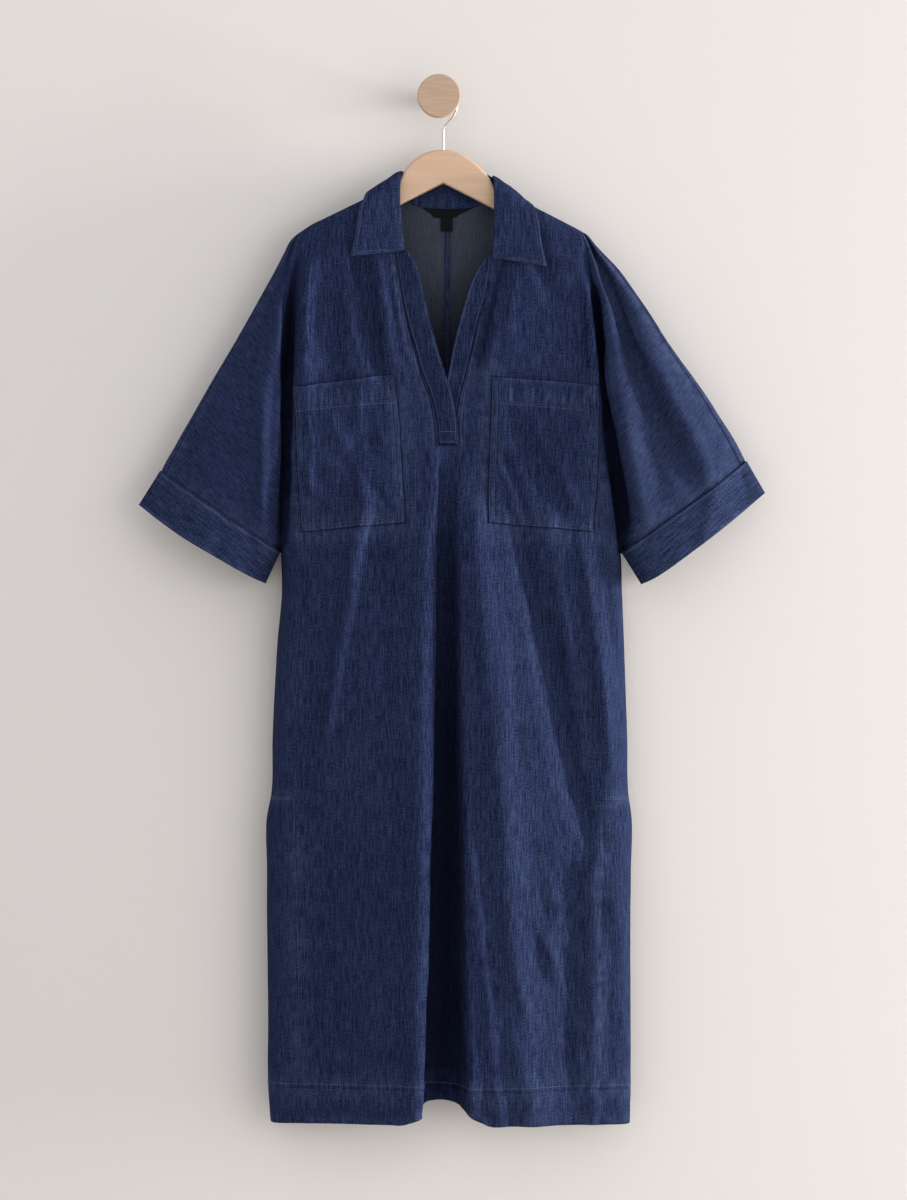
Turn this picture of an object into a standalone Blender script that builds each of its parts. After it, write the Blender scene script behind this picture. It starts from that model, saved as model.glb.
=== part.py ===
"""A denim kaftan dress on a wooden hanger, hung on a round wooden wall peg.

Run with: blender --background --python part.py

The object is built the way it is made. A front panel and two back panels are
cut with their sleeves grown on, and meet in overarm, underarm, side and
centre-back seams. A collar, two placket strips, two patch pockets, two cuffs
and two labels are sewn on. Each is a thin wall of cloth as it hangs.

Sizes in the tables are millimetres. X is to the viewer's right, Z is up, and
`d` is the distance in front of the wall, so that Y = -d. The origin is the
middle of the peg's back face, on the wall.
"""

import math
from collections import namedtuple

import bmesh
import bpy
from mathutils import Vector
from mathutils.bvhtree import BVHTree

MM = 0.001

# ---------------------------------------------------------------- named sizes
CLOTH = 1.2  # wall of one layer with its turnings
COLLAR_CLOTH = 2.4  # two layers and an interlining
LABEL_CLOTH = 1.0
SEAM_GAP = 0.3
ON_PANEL = CLOTH + SEAM_GAP + 0.1  # a sewn-on piece's middle above the panel's

HANGER_DEPTH = 45.0  # d of the hanger's middle
HANGER_THICK = 14.0
HANGER_ROUND = 3.5
WIRE_RADIUS = 1.5
HOLE_RADIUS = 1.9
HOLE_DEEP = 20.0
KNOB_RADIUS = 29.0
KNOB_BACK = 52.0
KNOB_FRONT = 66.0
STEM_RADIUS = 9.0
STEM_FOOT_RADIUS = 12.0

SLEEVE_CELLS = 6
POCKET_CELLS = 8
CUFF_LONG = 50.0

# ------------------------------------------------------------- the front's cut
# One row for each level of the cloth, on the viewer's left and right half.
# over: the overarm seam. side: the groove between body and sleeve, and below
# the underarm the side seam. fold: the body's soft edge beside it. pocket:
# the pocket's outer edge. inner: the pocket's inner edge. edge: the placket
# seam, and below it the crest beside the centre pleat.
Half = namedtuple(
    "Half",
    "name over_x over_z side_x side_z fold_x pocket_x inner_x inner_z edge_x edge_z",
)
LEFT = [
    Half("seam", -191, -185, -173, -173, -163, -150, -99, -137, -60, -110),
    Half("ridge", -196, -189, -177, -178, -167, -153, -99, -140, -60, -113),
    Half("arm", -202, -196, -185, -193, -175, -158, -99, -150, -60, -123),
    Half("collar", -210, -212, -193, -222, -186, -170, -90, -176, -62, -162),
    Half("slit_top", -223, -237, -198, -253, -192, -180, -80, -222, -59, -210),
    Half("chest_a", -244, -275, -200, -286, -193, -182, -70, -266, -53, -253),
    Half("chest_b", -263, -309, -201, -318, -195, -186, -65, -303, -45, -295),
    Half("chest_c", -282, -342, -204, -356, -197, -191, -61, -340, -34, -336),
    Half("pocket_top", -300, -372, -207, -394, -200, -196, -59, -376, -23, -375),
    Half("pocket_hem", -319, -405, -208, -426, -201, -194, -55, -412, -10, -409),
    Half("pocket_a", -336, -435, -209, -457, -202, -193, -52, -442, -3, -440),
    Half("slit_foot", -350, -459, -210, -492, -203, -192, -50, -475, -1, -472),
    Half("pocket_b", -360, -477, -213, -540, -206, -189, -47, -526, -2, -523),
    Half("pocket_foot", -369, -492, -214, -592, -208, -186, -44, -577, -3, -573),
    Half("underarm", -377, -508, -214, -617, -209, -189, -46, -614, -4, -611),
    Half("waist", None, None, -213, -673, -206, -192, -47, -671, -5, -669),
    Half("hip_a", None, None, -219, -739, -212, -198, -48, -738, -6, -737),
    Half("hip_b", None, None, -223, -804, -216, -202, -48, -804, -7, -803),
    Half("hip_c", None, None, -226, -870, -219, -205, -48, -870, -8, -870),
    Half("slit_head", None, None, -228, -946, -221, -206, -49, -942, -10, -942),
    Half("slit_open", None, None, -233, -973, -226, -205, -49, -973, -11, -973),
    Half("skirt_a", None, None, -233, -1043, -226, -203, -49, -1043, -13, -1043),
    Half("skirt_b", None, None, -233, -1111, -226, -201, -50, -1111, -15, -1111),
    Half("skirt_c", None, None, -232, -1178, -225, -199, -50, -1178, -17, -1178),
    Half("skirt_d", None, None, -231, -1246, -224, -198, -50, -1246, -20, -1246),
    Half("hem_stitch", None, None, -231, -1338, -224, -198, -50, -1338, -23, -1338),
    Half("hem", None, None, -228, -1387, -222, -197, -50, -1386, -25, -1378),
]
RIGHT = [
    Half("seam", 200, -186, 184, -177, 174, 160, 120, -144, 80, -117),
    Half("ridge", 204, -190, 188, -182, 178, 163, 120, -147, 80, -120),
    Half("arm", 210, -198, 194, -194, 184, 167, 119, -157, 82, -130),
    Half("collar", 221, -210, 201, -222, 194, 180, 104, -196, 83.5, -194),
    Half("slit_top", 242, -232, 207, -253, 202, 189, 89, -230, 70, -222),
    Half("chest_a", 266, -265, 213, -286, 207, 196, 81, -272, 65, -264),
    Half("chest_b", 288, -297, 217, -318, 213, 203, 76, -307, 55, -299),
    Half("chest_c", 308, -329, 221, -356, 216, 209, 73, -341, 46, -338),
    Half("pocket_top", 327, -356, 225, -391, 219, 214, 71, -379, 37, -376),
    Half("pocket_hem", 347, -383, 226, -426, 219, 215, 70, -413, 28, -410),
    Half("pocket_a", 365, -409, 227, -457, 219, 215, 69, -445, 24, -441),
    Half("slit_foot", 382, -436, 230, -492, 223, 215, 68, -476, 25, -472),
    Half("pocket_b", 394, -454, 235, -540, 230, 213, 66, -526, 25, -523),
    Half("pocket_foot", 405, -473, 242, -592, 236, 209, 66, -577, 26, -573),
    Half("underarm", 416, -495, 246, -618, 240, 212, 66, -614, 27, -611),
    Half("waist", None, None, 248, -673, 241, 222, 66, -671, 29, -669),
    Half("hip_a", None, None, 251, -739, 244, 228, 66, -738, 30, -737),
    Half("hip_b", None, None, 253, -804, 246, 231, 66, -804, 32, -803),
    Half("hip_c", None, None, 255, -870, 248, 233, 66, -870, 34, -870),
    Half("slit_head", None, None, 257, -946, 250, 228, 66, -942, 36, -942),
    Half("slit_open", None, None, 261, -973, 254, 227, 66, -973, 37, -973),
    Half("skirt_a", None, None, 260, -1043, 253, 226, 67, -1043, 38, -1043),
    Half("skirt_b", None, None, 259, -1111, 252, 226, 67, -1111, 40, -1111),
    Half("skirt_c", None, None, 259, -1178, 252, 225, 67, -1178, 41, -1178),
    Half("skirt_d", None, None, 259, -1246, 252, 225, 68, -1246, 43, -1246),
    Half("hem_stitch", None, None, 259, -1340, 252, 225, 68, -1342, 45, -1342),
    Half("hem", None, None, 258, -1389, 251, 225, 68, -1388, 46, -1378),
]
ROW = {row.name: index for index, row in enumerate(LEFT)}

# How far each level stands off the wall, at the same places, for the front.
# sleeve: the front of the sleeve's tube. over: the overarm seam.
# pleat: how far the centre pleat goes in behind its crests.
Depth = namedtuple("Depth", "over sleeve side fold pocket middle inner edge pleat")
FRONT_DEPTH = [
    Depth(45, 45.8, 45.8, 45.8, 45.8, 45.8, 45.8, 45.8, 0),
    Depth(45, 49, 51, 51, 51, 51, 51, 51, 0),
    Depth(45, 53, 56, 56, 56, 56.5, 57, 57, 0),
    Depth(45, 57, 54.5, 59, 61, 62, 62, 61, 0),
    Depth(45, 61, 50, 59, 63, 65, 65, 63, 0),
    Depth(45, 65, 47, 60, 65, 68, 68, 66, 0),
    Depth(44.5, 69, 46, 60, 66, 70, 70, 68, 0),
    Depth(44, 71, 46, 61, 67, 71, 71, 69, 0),
    Depth(44, 73, 46, 62, 68, 72, 72, 70, 0),
    Depth(43.5, 75, 46, 62, 69, 73, 73, 71, 0),
    Depth(43, 76, 46, 62, 70, 74, 74, 72, 0),
    Depth(43, 76, 46, 62, 70, 75, 75, 73, 0),
    Depth(42.5, 76, 46, 61, 70, 76, 76, 77, 10),
    Depth(42, 75, 43, 58, 69, 77, 77, 79, 20),
    Depth(42, 73, 34, 54, 68, 77, 78, 81, 28),
    Depth(0, 0, 30, 50, 66, 77, 79, 82, 33),
    Depth(0, 0, 30, 50, 66, 77, 79, 83, 37),
    Depth(0, 0, 30, 50, 66, 77, 79, 84, 41),
    Depth(0, 0, 30, 50, 66, 77, 79, 84, 44),
    Depth(0, 0, 30, 50, 66, 77, 79, 85, 47),
    Depth(0, 0, 30, 50, 66, 77, 79, 85, 49),
    Depth(0, 0, 30, 50, 66, 77, 79, 86, 52),
    Depth(0, 0, 30, 50, 66, 77, 79, 86, 54),
    Depth(0, 0, 30, 50, 65, 77, 80, 87, 57),
    Depth(0, 0, 30, 50, 65, 77, 80, 87, 59),
    Depth(0, 0, 30, 50, 65, 77, 80, 88, 61),
    Depth(0, 0, 30, 50, 65, 77, 80, 88, 62),
]

# The front's large folds: a soft ridge where high is positive, a trough where
# it is negative, from its head to its foot, fading over `fade` at each end.
Fold = namedtuple("Fold", "name head_x head_z foot_x foot_z half_wide high fade")
FRONT_FOLDS = [
    Fold("chest_ridge_left", -176, -215, -168, -400, 15, 5, 50),
    Fold("chest_trough_left", -140, -230, -128, -420, 18, -5, 60),
    Fold("beside_placket_left", -72, -205, -50, -330, 9, -9, 40),
    Fold("beside_placket_right", 84, -220, 66, -330, 9, -9, 40),
    Fold("shoulder_drag_right", 120, -170, 176, -330, 13, -6, 60),
    Fold("pocket_drag_right", 100, -440, 182, -600, 15, -6, 60),
    Fold("pocket_drag_left", -86, -440, -150, -600, 18, -4, 60),
    Fold("hip_ridge_left", -112, -590, -110, -1000, 22, 10, 120),
    Fold("centre_trough_left", -66, -600, -58, -1395, 17, -13, 120),
    Fold("skirt_ridge_left", -165, -960, -168, -1395, 20, 7, 100),
    Fold("skirt_trough_left", -118, -1000, -116, -1395, 22, -8, 120),
    Fold("centre_crest_right", 72, -600, 84, -1395, 26, 8, 120),
    Fold("diagonal_right", 146, -640, 206, -950, 15, -17, 90),
    Fold("hip_ridge_right", 214, -650, 218, -900, 11, 6, 80),
    Fold("skirt_trough_right", 140, -1010, 146, -1395, 22, -9, 100),
    Fold("skirt_ridge_right", 192, -980, 190, -1395, 20, 6, 100),
]
# Folds of the sleeve run from the shoulder's tip: `across` is 0 at the body
# and 1 at the overarm seam, and they fade by the level `gone`.
SleeveFold = namedtuple("SleeveFold", "name across half_wide high gone")
LEFT_SLEEVE_FOLDS = [
    SleeveFold("left_roll", 0.30, 0.16, 4, 1.0),
    SleeveFold("left_trough", 0.58, 0.16, -7, 0.75),
]
RIGHT_SLEEVE_FOLDS = [
    SleeveFold("right_roll", 0.30, 0.14, 4, 0.9),
    SleeveFold("right_trough", 0.55, 0.14, -13, 0.7),
    SleeveFold("right_outer_roll", 0.78, 0.12, 3, 1.1),
]

# ------------------------------------------------------------------ the backs
NECK_DROP = {-1: [0.0, 11.0, 30.0, 37.0], 1: [0.0, 10.5, 27.5, 30.0]}  # the back neck's curve below each neck point
CENTRE_BACK = 10.5
Back = namedtuple("Back", "curve side middle neck centre sleeve")
BACK_DEPTH = [
    Back(1.00, 44.2, 44.2, 44.2, 30.0, 44.2),
    Back(1.00, 39.0, 39.0, 39.0, 29.5, 41),
    Back(0.95, 34.0, 34.0, 34.0, 29.0, 36),
    Back(0.55, 30.0, 30.0, 30.0, 27.0, 31),
    Back(0.30, 28.0, 26.0, 26.0, 25.0, 26),
    Back(0.15, 28.0, 24.0, 23.0, 22.0, 23),
    Back(0.05, 28.0, 22.0, 21.0, 20.0, 21),
    Back(0.00, 28.0, 21.0, 20.0, 19.0, 20),
    Back(0.00, 28.0, 20.0, 19.0, 18.0, 19),
    Back(0.00, 28.0, 19.0, 18.0, 17.0, 18),
    Back(0.00, 28.0, 19.0, 18.0, 16.0, 18),
    Back(0.00, 29.0, 18.0, 17.0, 15.0, 18),
    Back(0.00, 29.0, 18.0, 17.0, 15.0, 18),
    Back(0.00, 31.0, 18.0, 17.0, 14.0, 19),
    Back(0.00, 34.0, 18.0, 17.0, 14.0, 20),
] + [Back(0.00, 30.0, 18.0, 16.0, 13.0, 0)] * 12
BACK_FOLDS = [
    Fold("back_left_a", -120, -260, -128, -1370, 24, -6, 200),
    Fold("back_left_b", -62, -600, -58, -1370, 20, -4, 200),
    Fold("back_right_a", 142, -260, 150, -1370, 24, -6, 200),
    Fold("back_right_b", 82, -600, 78, -1370, 20, -4, 200),
]
BACK_HEM_LIFT = 32.0

# ------------------------------------------------------------ sewn-on strips
# Free edge of each placket strip, level by level. d is its middle's depth.
Edge = namedtuple("Edge", "seam_x seam_z seam_d free_x free_z free_d")
OVER_EDGE = [
    Edge(-58.2, -208, 63.3, -42, -209.5, 65.6),
    Edge(-55.4, -231, 64.6, -29, -232, 68.0),
    Edge(-52.2, -253, 66.0, -24, -253, 69.0),
    Edge(-44.2, -295, 68.0, -14, -295, 71.0),
    Edge(-33.2, -336, 69.0, -4, -335, 72.0),
    Edge(-22.2, -375, 70.0, 8, -374, 73.5),
    Edge(-9.2, -409, 71.0, 19, -409, 75.0),
    Edge(-2.2, -440, 72.0, 24, -440, 75.5),
    Edge(-0.2, -471, 73.0, 25, -471, 75.5),
]
UNDER_EDGE = [
    Edge(70.6, -212, 62.6, 64, -214, 61.0),
    Edge(67.6, -236, 64.0, 56, -237, 62.5),
    Edge(65.5, -250, 65.0, 46, -249, 63.5),
    Edge(64.2, -264, 66.0, 43, -266, 64.0),
    Edge(54.2, -299, 67.6, 32, -299, 65.0),
    Edge(45.2, -338, 68.6, 21, -338, 66.0),
    Edge(36.2, -376, 69.6, 14, -376, 67.0),
    Edge(27.2, -410, 70.2, 7, -410, 68.0),
    Edge(23.2, -441, 70.8, 2, -441, 69.4),
    Edge(24.2, -471, 71.4, 2, -471, 70.0),
]

# ---------------------------------------------------------------- the collar
# seam: where the stand is sewn to the neck. roll: where it turns over. fall:
# its free edge. From the left front's end, round the back, to the right's.
Neck = namedtuple(
    "Neck", "name sx sz sd rx rz rd fx fz fd"
)
COLLAR = [
    Neck("left_end", -57.0, -204, 63.6, -47, -209, 68.5, -118, -214, 74.5),
    Neck("left_low", -58.8, -176, 62.4, -51, -176, 66.6, -112, -182, 71.5),
    Neck("left_mid", -59.0, -150, 60.4, -53, -147, 64.6, -107, -151, 69.0),
    Neck("left_high", -57.6, -126, 58.2, -53, -122, 61.5, -101, -139, 65.5),
    Neck("left_front", -56.8, -110, 55.0, -52, -104, 56.5, -98, -133, 57.5),
    Neck("left_top", -56.4, -106.5, 45.5, -51, -100.5, 45.5, -95, -129, 46.5),
    Neck("left_behind", -55.6, -110, 35.6, -49, -101, 34.0, -92, -131.5, 34.5),
    Neck("left_nape", -50.0, -121, 33.6, -43, -97, 28.5, -84, -139, 23.0),
    Neck("left_back", -32.0, -134, 32.4, -30, -96.5, 27.0, -57, -156, 17.5),
    Neck("centre_left", -10.0, -142.0, 30.8, -10, -96, 25.0, -22, -168, 15.0),
    Neck("centre_back", 10.5, -144, 30.0, 11, -96, 24.5, 11, -171, 14.5),
    Neck("centre_right", 31.0, -142.5, 30.8, 32, -98, 25.0, 44, -169, 15.0),
    Neck("right_back", 53.0, -137, 32.4, 52, -101, 27.0, 79, -160, 17.5),
    Neck("right_nape", 70.0, -128, 33.6, 64, -103, 28.5, 105, -145, 23.0),
    Neck("right_behind", 75.6, -118, 35.6, 71, -108, 34.0, 114, -138, 34.5),
    Neck("right_top", 76.6, -114, 45.5, 73, -107, 45.5, 119, -136.5, 46.5),
    Neck("right_front", 77.2, -118, 55.0, 74, -110, 56.5, 124, -141, 57.5),
    Neck("right_high", 79.6, -134, 58.2, 75, -130, 61.5, 129, -147, 65.5),
    Neck("right_mid", 81.2, -160, 60.6, 75, -157, 65.0, 133, -164, 69.5),
    Neck("right_low", 80.4, -188, 61.8, 75, -188, 66.8, 138, -197, 72.0),
    Neck("right_end", 75.0, -206, 62.6, 73, -219, 69.0, 144, -228, 75.0),
]

# ----------------------------------------------------------------- the cuffs
# The free end of each cuff, from its outer to its inner corner.
Mouth = namedtuple("Mouth", "x z")
LEFT_MOUTH = [
    Mouth(-406, -552), Mouth(-384, -569), Mouth(-349, -594), Mouth(-302, -620),
    Mouth(-269, -640), Mouth(-250, -651), Mouth(-235, -658),
]
RIGHT_MOUTH = [
    Mouth(441, -535), Mouth(403, -563), Mouth(357, -598), Mouth(330, -618),
    Mouth(305, -638), Mouth(289, -650), Mouth(275, -658),
]
CUFF_SAG = 7.0  # how far the mouth hangs open

# ----------------------------------------------------------- labels, hardware
LABEL_WIDE_TOP, LABEL_WIDE_FOOT, LABEL_LONG = 70.0, 34.0, 14.0
TAB_WIDE, TAB_LONG = 16.0, 18.0
HANGER_TOP = [
    (-178, -190), (-175, -182.5), (-168, -176), (-99, -142), (-60, -121),
    (-55, -115.5), (-50, -106), (-45, -97), (-36, -87), (-17, -75), (6, -71),
    (26, -75), (45, -86), (58, -97.5), (70, -112.5), (75, -122), (80, -128),
    (120, -149), (176, -178), (183, -185), (187, -191),
]
HANGER_UNDER = [
    (187, -201), (181, -206), (120, -176), (73, -149.5), (6, -116.5),
    (-53, -146), (-99, -168), (-172, -205), (-178, -200),
]
HOOK_PATH = [
    (-29, -4), (-24, 4), (-13, 9.6), (0, 10.9), (13, 8.4), (22, 0),
    (24.6, -12), (20.4, -24), (12, -34.5), (7, -41), (5.9, -48), (5.9, -60),
    (5.9, -71), (5.9, -88),
]

# --------------------------------------------------------------------- looks
DENIM = ("denim", (0.020, 0.030, 0.105, 1.0), 0.85, 0.0)
REVERSE = ("denim_trim", (0.017, 0.026, 0.092, 1.0), 0.85, 0.0)
WOVEN = ("label_weave", (0.006, 0.007, 0.012, 1.0), 0.7, 0.0)
TAPE = ("tab_weave", (0.03, 0.035, 0.06, 1.0), 0.75, 0.0)
BEECH = ("beech", (0.62, 0.42, 0.25, 1.0), 0.5, 0.0)
PALE = ("peg_wood", (0.70, 0.52, 0.34, 1.0), 0.55, 0.0)
WIRE = ("wire", (0.60, 0.60, 0.58, 1.0), 0.3, 1.0)


def clear_scene():
    """Removes whatever the open file holds."""
    for obj in list(bpy.data.objects):
        bpy.data.objects.remove(obj, do_unlink=True)


def finish_of(look):
    """The material of one finish, made once."""
    name, colour, roughness, metallic = look
    made = bpy.data.materials.get(name) or bpy.data.materials.new(name)
    made.use_nodes = True
    surface = made.node_tree.nodes["Principled BSDF"]
    surface.inputs["Base Color"].default_value = colour
    surface.inputs["Roughness"].default_value = roughness
    surface.inputs["Metallic"].default_value = metallic
    return made


def world(x, d, z):
    """A point in metres from its place across, off the wall and up."""
    return Vector((x * MM, -d * MM, z * MM))


def mix(a, b, t):
    """The value a share t of the way from a to b."""
    return a + (b - a) * t


def ease(t):
    """A smooth step from 0 to 1."""
    t = min(1.0, max(0.0, t))
    return t * t * (3 - 2 * t)


def along(points, t):
    """The point a share t of the way through a list, by its count."""
    place = min(max(t, 0.0), 1.0) * (len(points) - 1)
    first = min(int(place), len(points) - 2)
    return points[first].lerp(points[first + 1], place - first)


def fold_height(folds, x, z):
    """How far the large folds lift the cloth at one place."""
    lift = 0.0
    for fold in folds:
        t = (fold.head_z - z) / (fold.head_z - fold.foot_z)
        if not -0.2 < t < 1.2:
            continue
        middle = mix(fold.head_x, fold.foot_x, t)
        from_head = ease((fold.head_z - z) / fold.fade + 0.5)
        # A fold that reaches the hem runs out through it.
        from_foot = 1.0 if fold.foot_z < -1360 else ease((z - fold.foot_z) / fold.fade + 0.5)
        lift += fold.high * from_head * from_foot * math.exp(-(((x - middle) / fold.half_wide) ** 2))
    return lift


def sleeve_lift(folds, across, level):
    """How far the sleeve's folds lift it."""
    lift = 0.0
    for fold in folds:
        near = math.exp(-(((across - fold.across) / fold.half_wide) ** 2))
        lift += fold.high * near * ease(level * 5) * ease((fold.gone - level) * 3)
    return lift


# ---------------------------------------------------------------- the sheets
ACROSS = [0.0, 0.09, 0.24, 0.42, 0.60, 0.80, 1.0]  # the sleeve, body to overarm
ROUND = [0.0, 0.78, 0.98, 1.0, 0.96, 0.70, 0.0]  # its tube's section


def sleeve_row(half, depth, index, folds):
    """One level of a sleeve's front, from the overarm seam to the body."""
    level = index / ROW["underarm"]
    row = []
    for across, swell in reversed(list(zip(ACROSS[1:], ROUND[1:]))):
        x = mix(half.side_x, half.over_x, across)
        z = mix(half.side_z, half.over_z, across)
        base = mix(depth.side, depth.over + 0.75, across)
        d = base + swell * (depth.sleeve - base)
        if swell and index > 1:
            d += sleeve_lift(folds, across, level)
            z -= 3.0 * swell * level
        row.append(world(x, d, z))
    return row


def seam_half(index):
    """Half the distance between front and back at the side seam's level."""
    if index < ROW["underarm"]:
        return 0.0
    # The four layers at the underarm's point need more room.
    return 2.2 if index == ROW["underarm"] else 0.8


def body_row(half, depth, index):
    """One level of a half front, from its side to the placket or the pleat."""
    seam = seam_half(index)
    places = [(half.side_x, depth.side + seam), (half.fold_x, depth.fold)]
    for cell in range(POCKET_CELLS + 1):
        t = cell / POCKET_CELLS
        d = mix(depth.pocket, depth.middle, ease(t * 3)) if t < 0.5 else mix(depth.middle, depth.inner, (t - 0.5) * 2)
        places.append((mix(half.pocket_x, half.inner_x, t), d))
    for t in (0.5, 1.0):
        places.append((mix(half.inner_x, half.edge_x, t), mix(depth.inner, depth.edge, t)))
    row = []
    for place, (x, d) in enumerate(places):
        if abs(x - half.side_x) <= abs(half.inner_x - half.side_x):
            t = (x - half.side_x) / (half.inner_x - half.side_x)
            z = mix(half.side_z, half.inner_z, t)
        else:
            t = (x - half.inner_x) / (half.edge_x - half.inner_x)
            z = mix(half.inner_z, half.edge_z, t)
        if index > 2 and place > 1:
            held = 0.5 if place == 2 else 1.0
            if place == len(places) - 1 and index <= ROW["slit_foot"]:
                held = 0.0
            d += held * fold_height(FRONT_FOLDS, x, z)
        row.append((x, d, z))
    return [world(x, d, z) for x, d, z in row]


PLEAT = [0.16, 0.32, 0.50, 0.70, 0.86]  # places across the centre pleat
PLEAT_IN = [0.36, 0.90, 1.0, 0.88, 0.34]


def centre_row(left, right, depth, index):
    """One level of the strip between the plackets' seams, below them."""
    if index < ROW["slit_foot"]:
        return [None] * len(PLEAT)
    row = []
    for t, share in zip(PLEAT, PLEAT_IN):
        point = left.lerp(right, t)
        point.y += depth.pleat * share * MM
        if index == len(LEFT) - 1:
            point.z += 0.31 * depth.pleat * share * MM
        row.append(point)
    return row


def front_grid():
    """The front's points, level by level, from its left to its right."""
    grid = []
    for index, (left, right, depth) in enumerate(zip(LEFT, RIGHT, FRONT_DEPTH)):
        none = [None] * SLEEVE_CELLS
        sleeves = index <= ROW["underarm"]
        one = sleeve_row(left, depth, index, LEFT_SLEEVE_FOLDS) if sleeves else none
        two = sleeve_row(right, depth, index, RIGHT_SLEEVE_FOLDS) if sleeves else none
        near, far = body_row(left, depth, index), body_row(right, depth, index)
        middle = centre_row(near[-1], far[-1], depth, index)
        grid.append(one + near + middle + far[::-1] + two[::-1])
    return grid


BACK_ACROSS = [0.0, 0.12, 0.45, 0.75, 1.0]
BACK_ROUND = [0.0, 0.8, 1.0, 0.85, 0.0]
NECK_X = {-1: [-60, -56.5, -33, CENTRE_BACK - 0.75], 1: [80, 76.5, 54, CENTRE_BACK + 0.75]}
BACK_CELLS = 6


def back_grid(halves, side):
    """A half back's points, level by level, from its overarm to centre back."""
    grid = []
    for index, (half, depth, front) in enumerate(zip(halves, BACK_DEPTH, FRONT_DEPTH)):
        row = []
        if index <= ROW["underarm"]:
            for across, swell in reversed(list(zip(BACK_ACROSS[1:], BACK_ROUND[1:]))):
                side_d = depth.side - seam_half(index)
                base = mix(side_d, front.over - 0.75, across)
                x = mix(half.side_x, half.over_x, across)
                z = mix(half.side_z, half.over_z, across)
                row.append(world(x, mix(base, depth.sleeve, swell if index else 0), z))
        else:
            row += [None] * (len(BACK_ACROSS) - 1)
        # The shoulder line carries on as the neck's curve, which flattens out
        # further down.
        neck = [Vector((x, 0, halves[0].edge_z - drop)) for x, drop in zip(NECK_X[side], NECK_DROP[side])]
        sink = halves[0].edge_z - half.edge_z
        level_z = mix(half.side_z, half.edge_z, 0.5) if depth.curve < 0.5 else half.edge_z
        lift = BACK_HEM_LIFT if index == len(halves) - 1 else 0.0
        places = []
        seam = seam_half(index)
        for cell in range(BACK_CELLS + 1):
            t = cell / BACK_CELLS
            x = mix(half.side_x, NECK_X[side][0], t)
            near = (x - half.side_x) / (half.inner_x - half.side_x)
            line = mix(half.side_z, half.inner_z, near) if abs(near) < 1 else mix(
                half.inner_z, half.edge_z, min(1, (x - half.inner_x) / (half.edge_x - half.inner_x)))
            z = line if index < 3 else mix(half.side_z, line, 1.0 if depth.curve > 0.2 else 0.5)
            d = mix(depth.side - seam, depth.middle, ease(t * 3)) if t < 0.5 else mix(depth.middle, depth.neck, (t - 0.5) * 2)
            places.append((x, d, z + lift * ease(t * 3)))
        for x, curved, t in zip(NECK_X[side][1:], neck[1:], (0.62, 0.82, 1.0)):
            flat = places[BACK_CELLS][2] if index > 3 else half.edge_z - 6
            top = curved.z - sink * (0.6 if index < 3 else 0.8)
            z = mix(flat, top, depth.curve) if index else curved.z
            places.append((x, mix(depth.neck, depth.centre, t), z))
        for place, (x, d, z) in enumerate(places):
            if index > 4 and place > 1:
                d += fold_height(BACK_FOLDS, x, z)
            row.append(world(x, d, z))
        grid.append(row)
    return grid


def sheet_mesh(grid):
    """A bmesh of the grid's cells, each cut the same way, gaps left out."""
    rows, columns = len(grid), len(grid[0])
    bm = bmesh.new()
    bmesh.ops.create_grid(bm, x_segments=columns - 1, y_segments=rows - 1, size=1.0)
    lost = []
    for vert in bm.verts:
        column = round((vert.co.x + 1) / 2 * (columns - 1))
        row = round((1 - vert.co.y) / 2 * (rows - 1))
        point = grid[row][column]
        if point is None:
            lost.append(vert)
        else:
            vert.co = point
    bmesh.ops.delete(bm, geom=lost, context="VERTS")
    bmesh.ops.triangulate(bm, faces=bm.faces[:], quad_method="FIXED")
    return bm


def moved_out(grid, away):
    """The grid's points moved off its surface by `away`, to the viewer's side."""
    bm = sheet_mesh(grid)
    bm.normal_update()
    out = {}
    for vert in bm.verts:
        normal = vert.normal.copy()
        lean = sum(abs(normal.dot(face.normal)) for face in vert.link_faces) / len(vert.link_faces)
        if normal.y > 0:
            normal.negate()
        out[tuple(round(c, 7) for c in vert.co)] = vert.co + normal * (away * MM / max(lean, 0.5))
    bm.free()
    return [[None if p is None else out[tuple(round(c, 7) for c in p)] for p in row] for row in grid]


def named(name, mesh_or_bm, look):
    """An object with its own mesh and finish."""
    mesh = bpy.data.meshes.new(name)
    mesh_or_bm.to_mesh(mesh)
    mesh_or_bm.free()
    mesh.materials.append(finish_of(look))
    obj = bpy.data.objects.new(name, mesh)
    bpy.context.scene.collection.objects.link(obj)
    return obj


def walled(obj, wall):
    """Gives a sheet its wall, half to each side."""
    solid = obj.modifiers.new("wall", "SOLIDIFY")
    solid.thickness = wall * MM
    solid.offset = 0.0
    solid.use_even_offset = True
    solid.use_quality_normals = True
    return obj


def cloth(name, grid, wall, look):
    """A sewn piece of cloth from its grid of points."""
    return walled(named(name, sheet_mesh(grid), look), wall)


def window(grid, first_row, last_row, first_column, last_column):
    """Part of a grid."""
    return [row[first_column : last_column + 1] for row in grid[first_row : last_row + 1]]


def strip_grid(edges, bow):
    """A placket strip's points, from its seam to its free edge."""
    grid = []
    for edge in edges:
        seam = Vector((edge.seam_x, edge.seam_d, edge.seam_z))
        free = Vector((edge.free_x, edge.free_d, edge.free_z))
        row = []
        for t in (0.0, 0.33, 0.67, 1.0):
            point = seam.lerp(free, t)
            row.append(world(point.x, point.y + bow * 4 * t * (1 - t), point.z))
        grid.append(row)
    return grid


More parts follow.
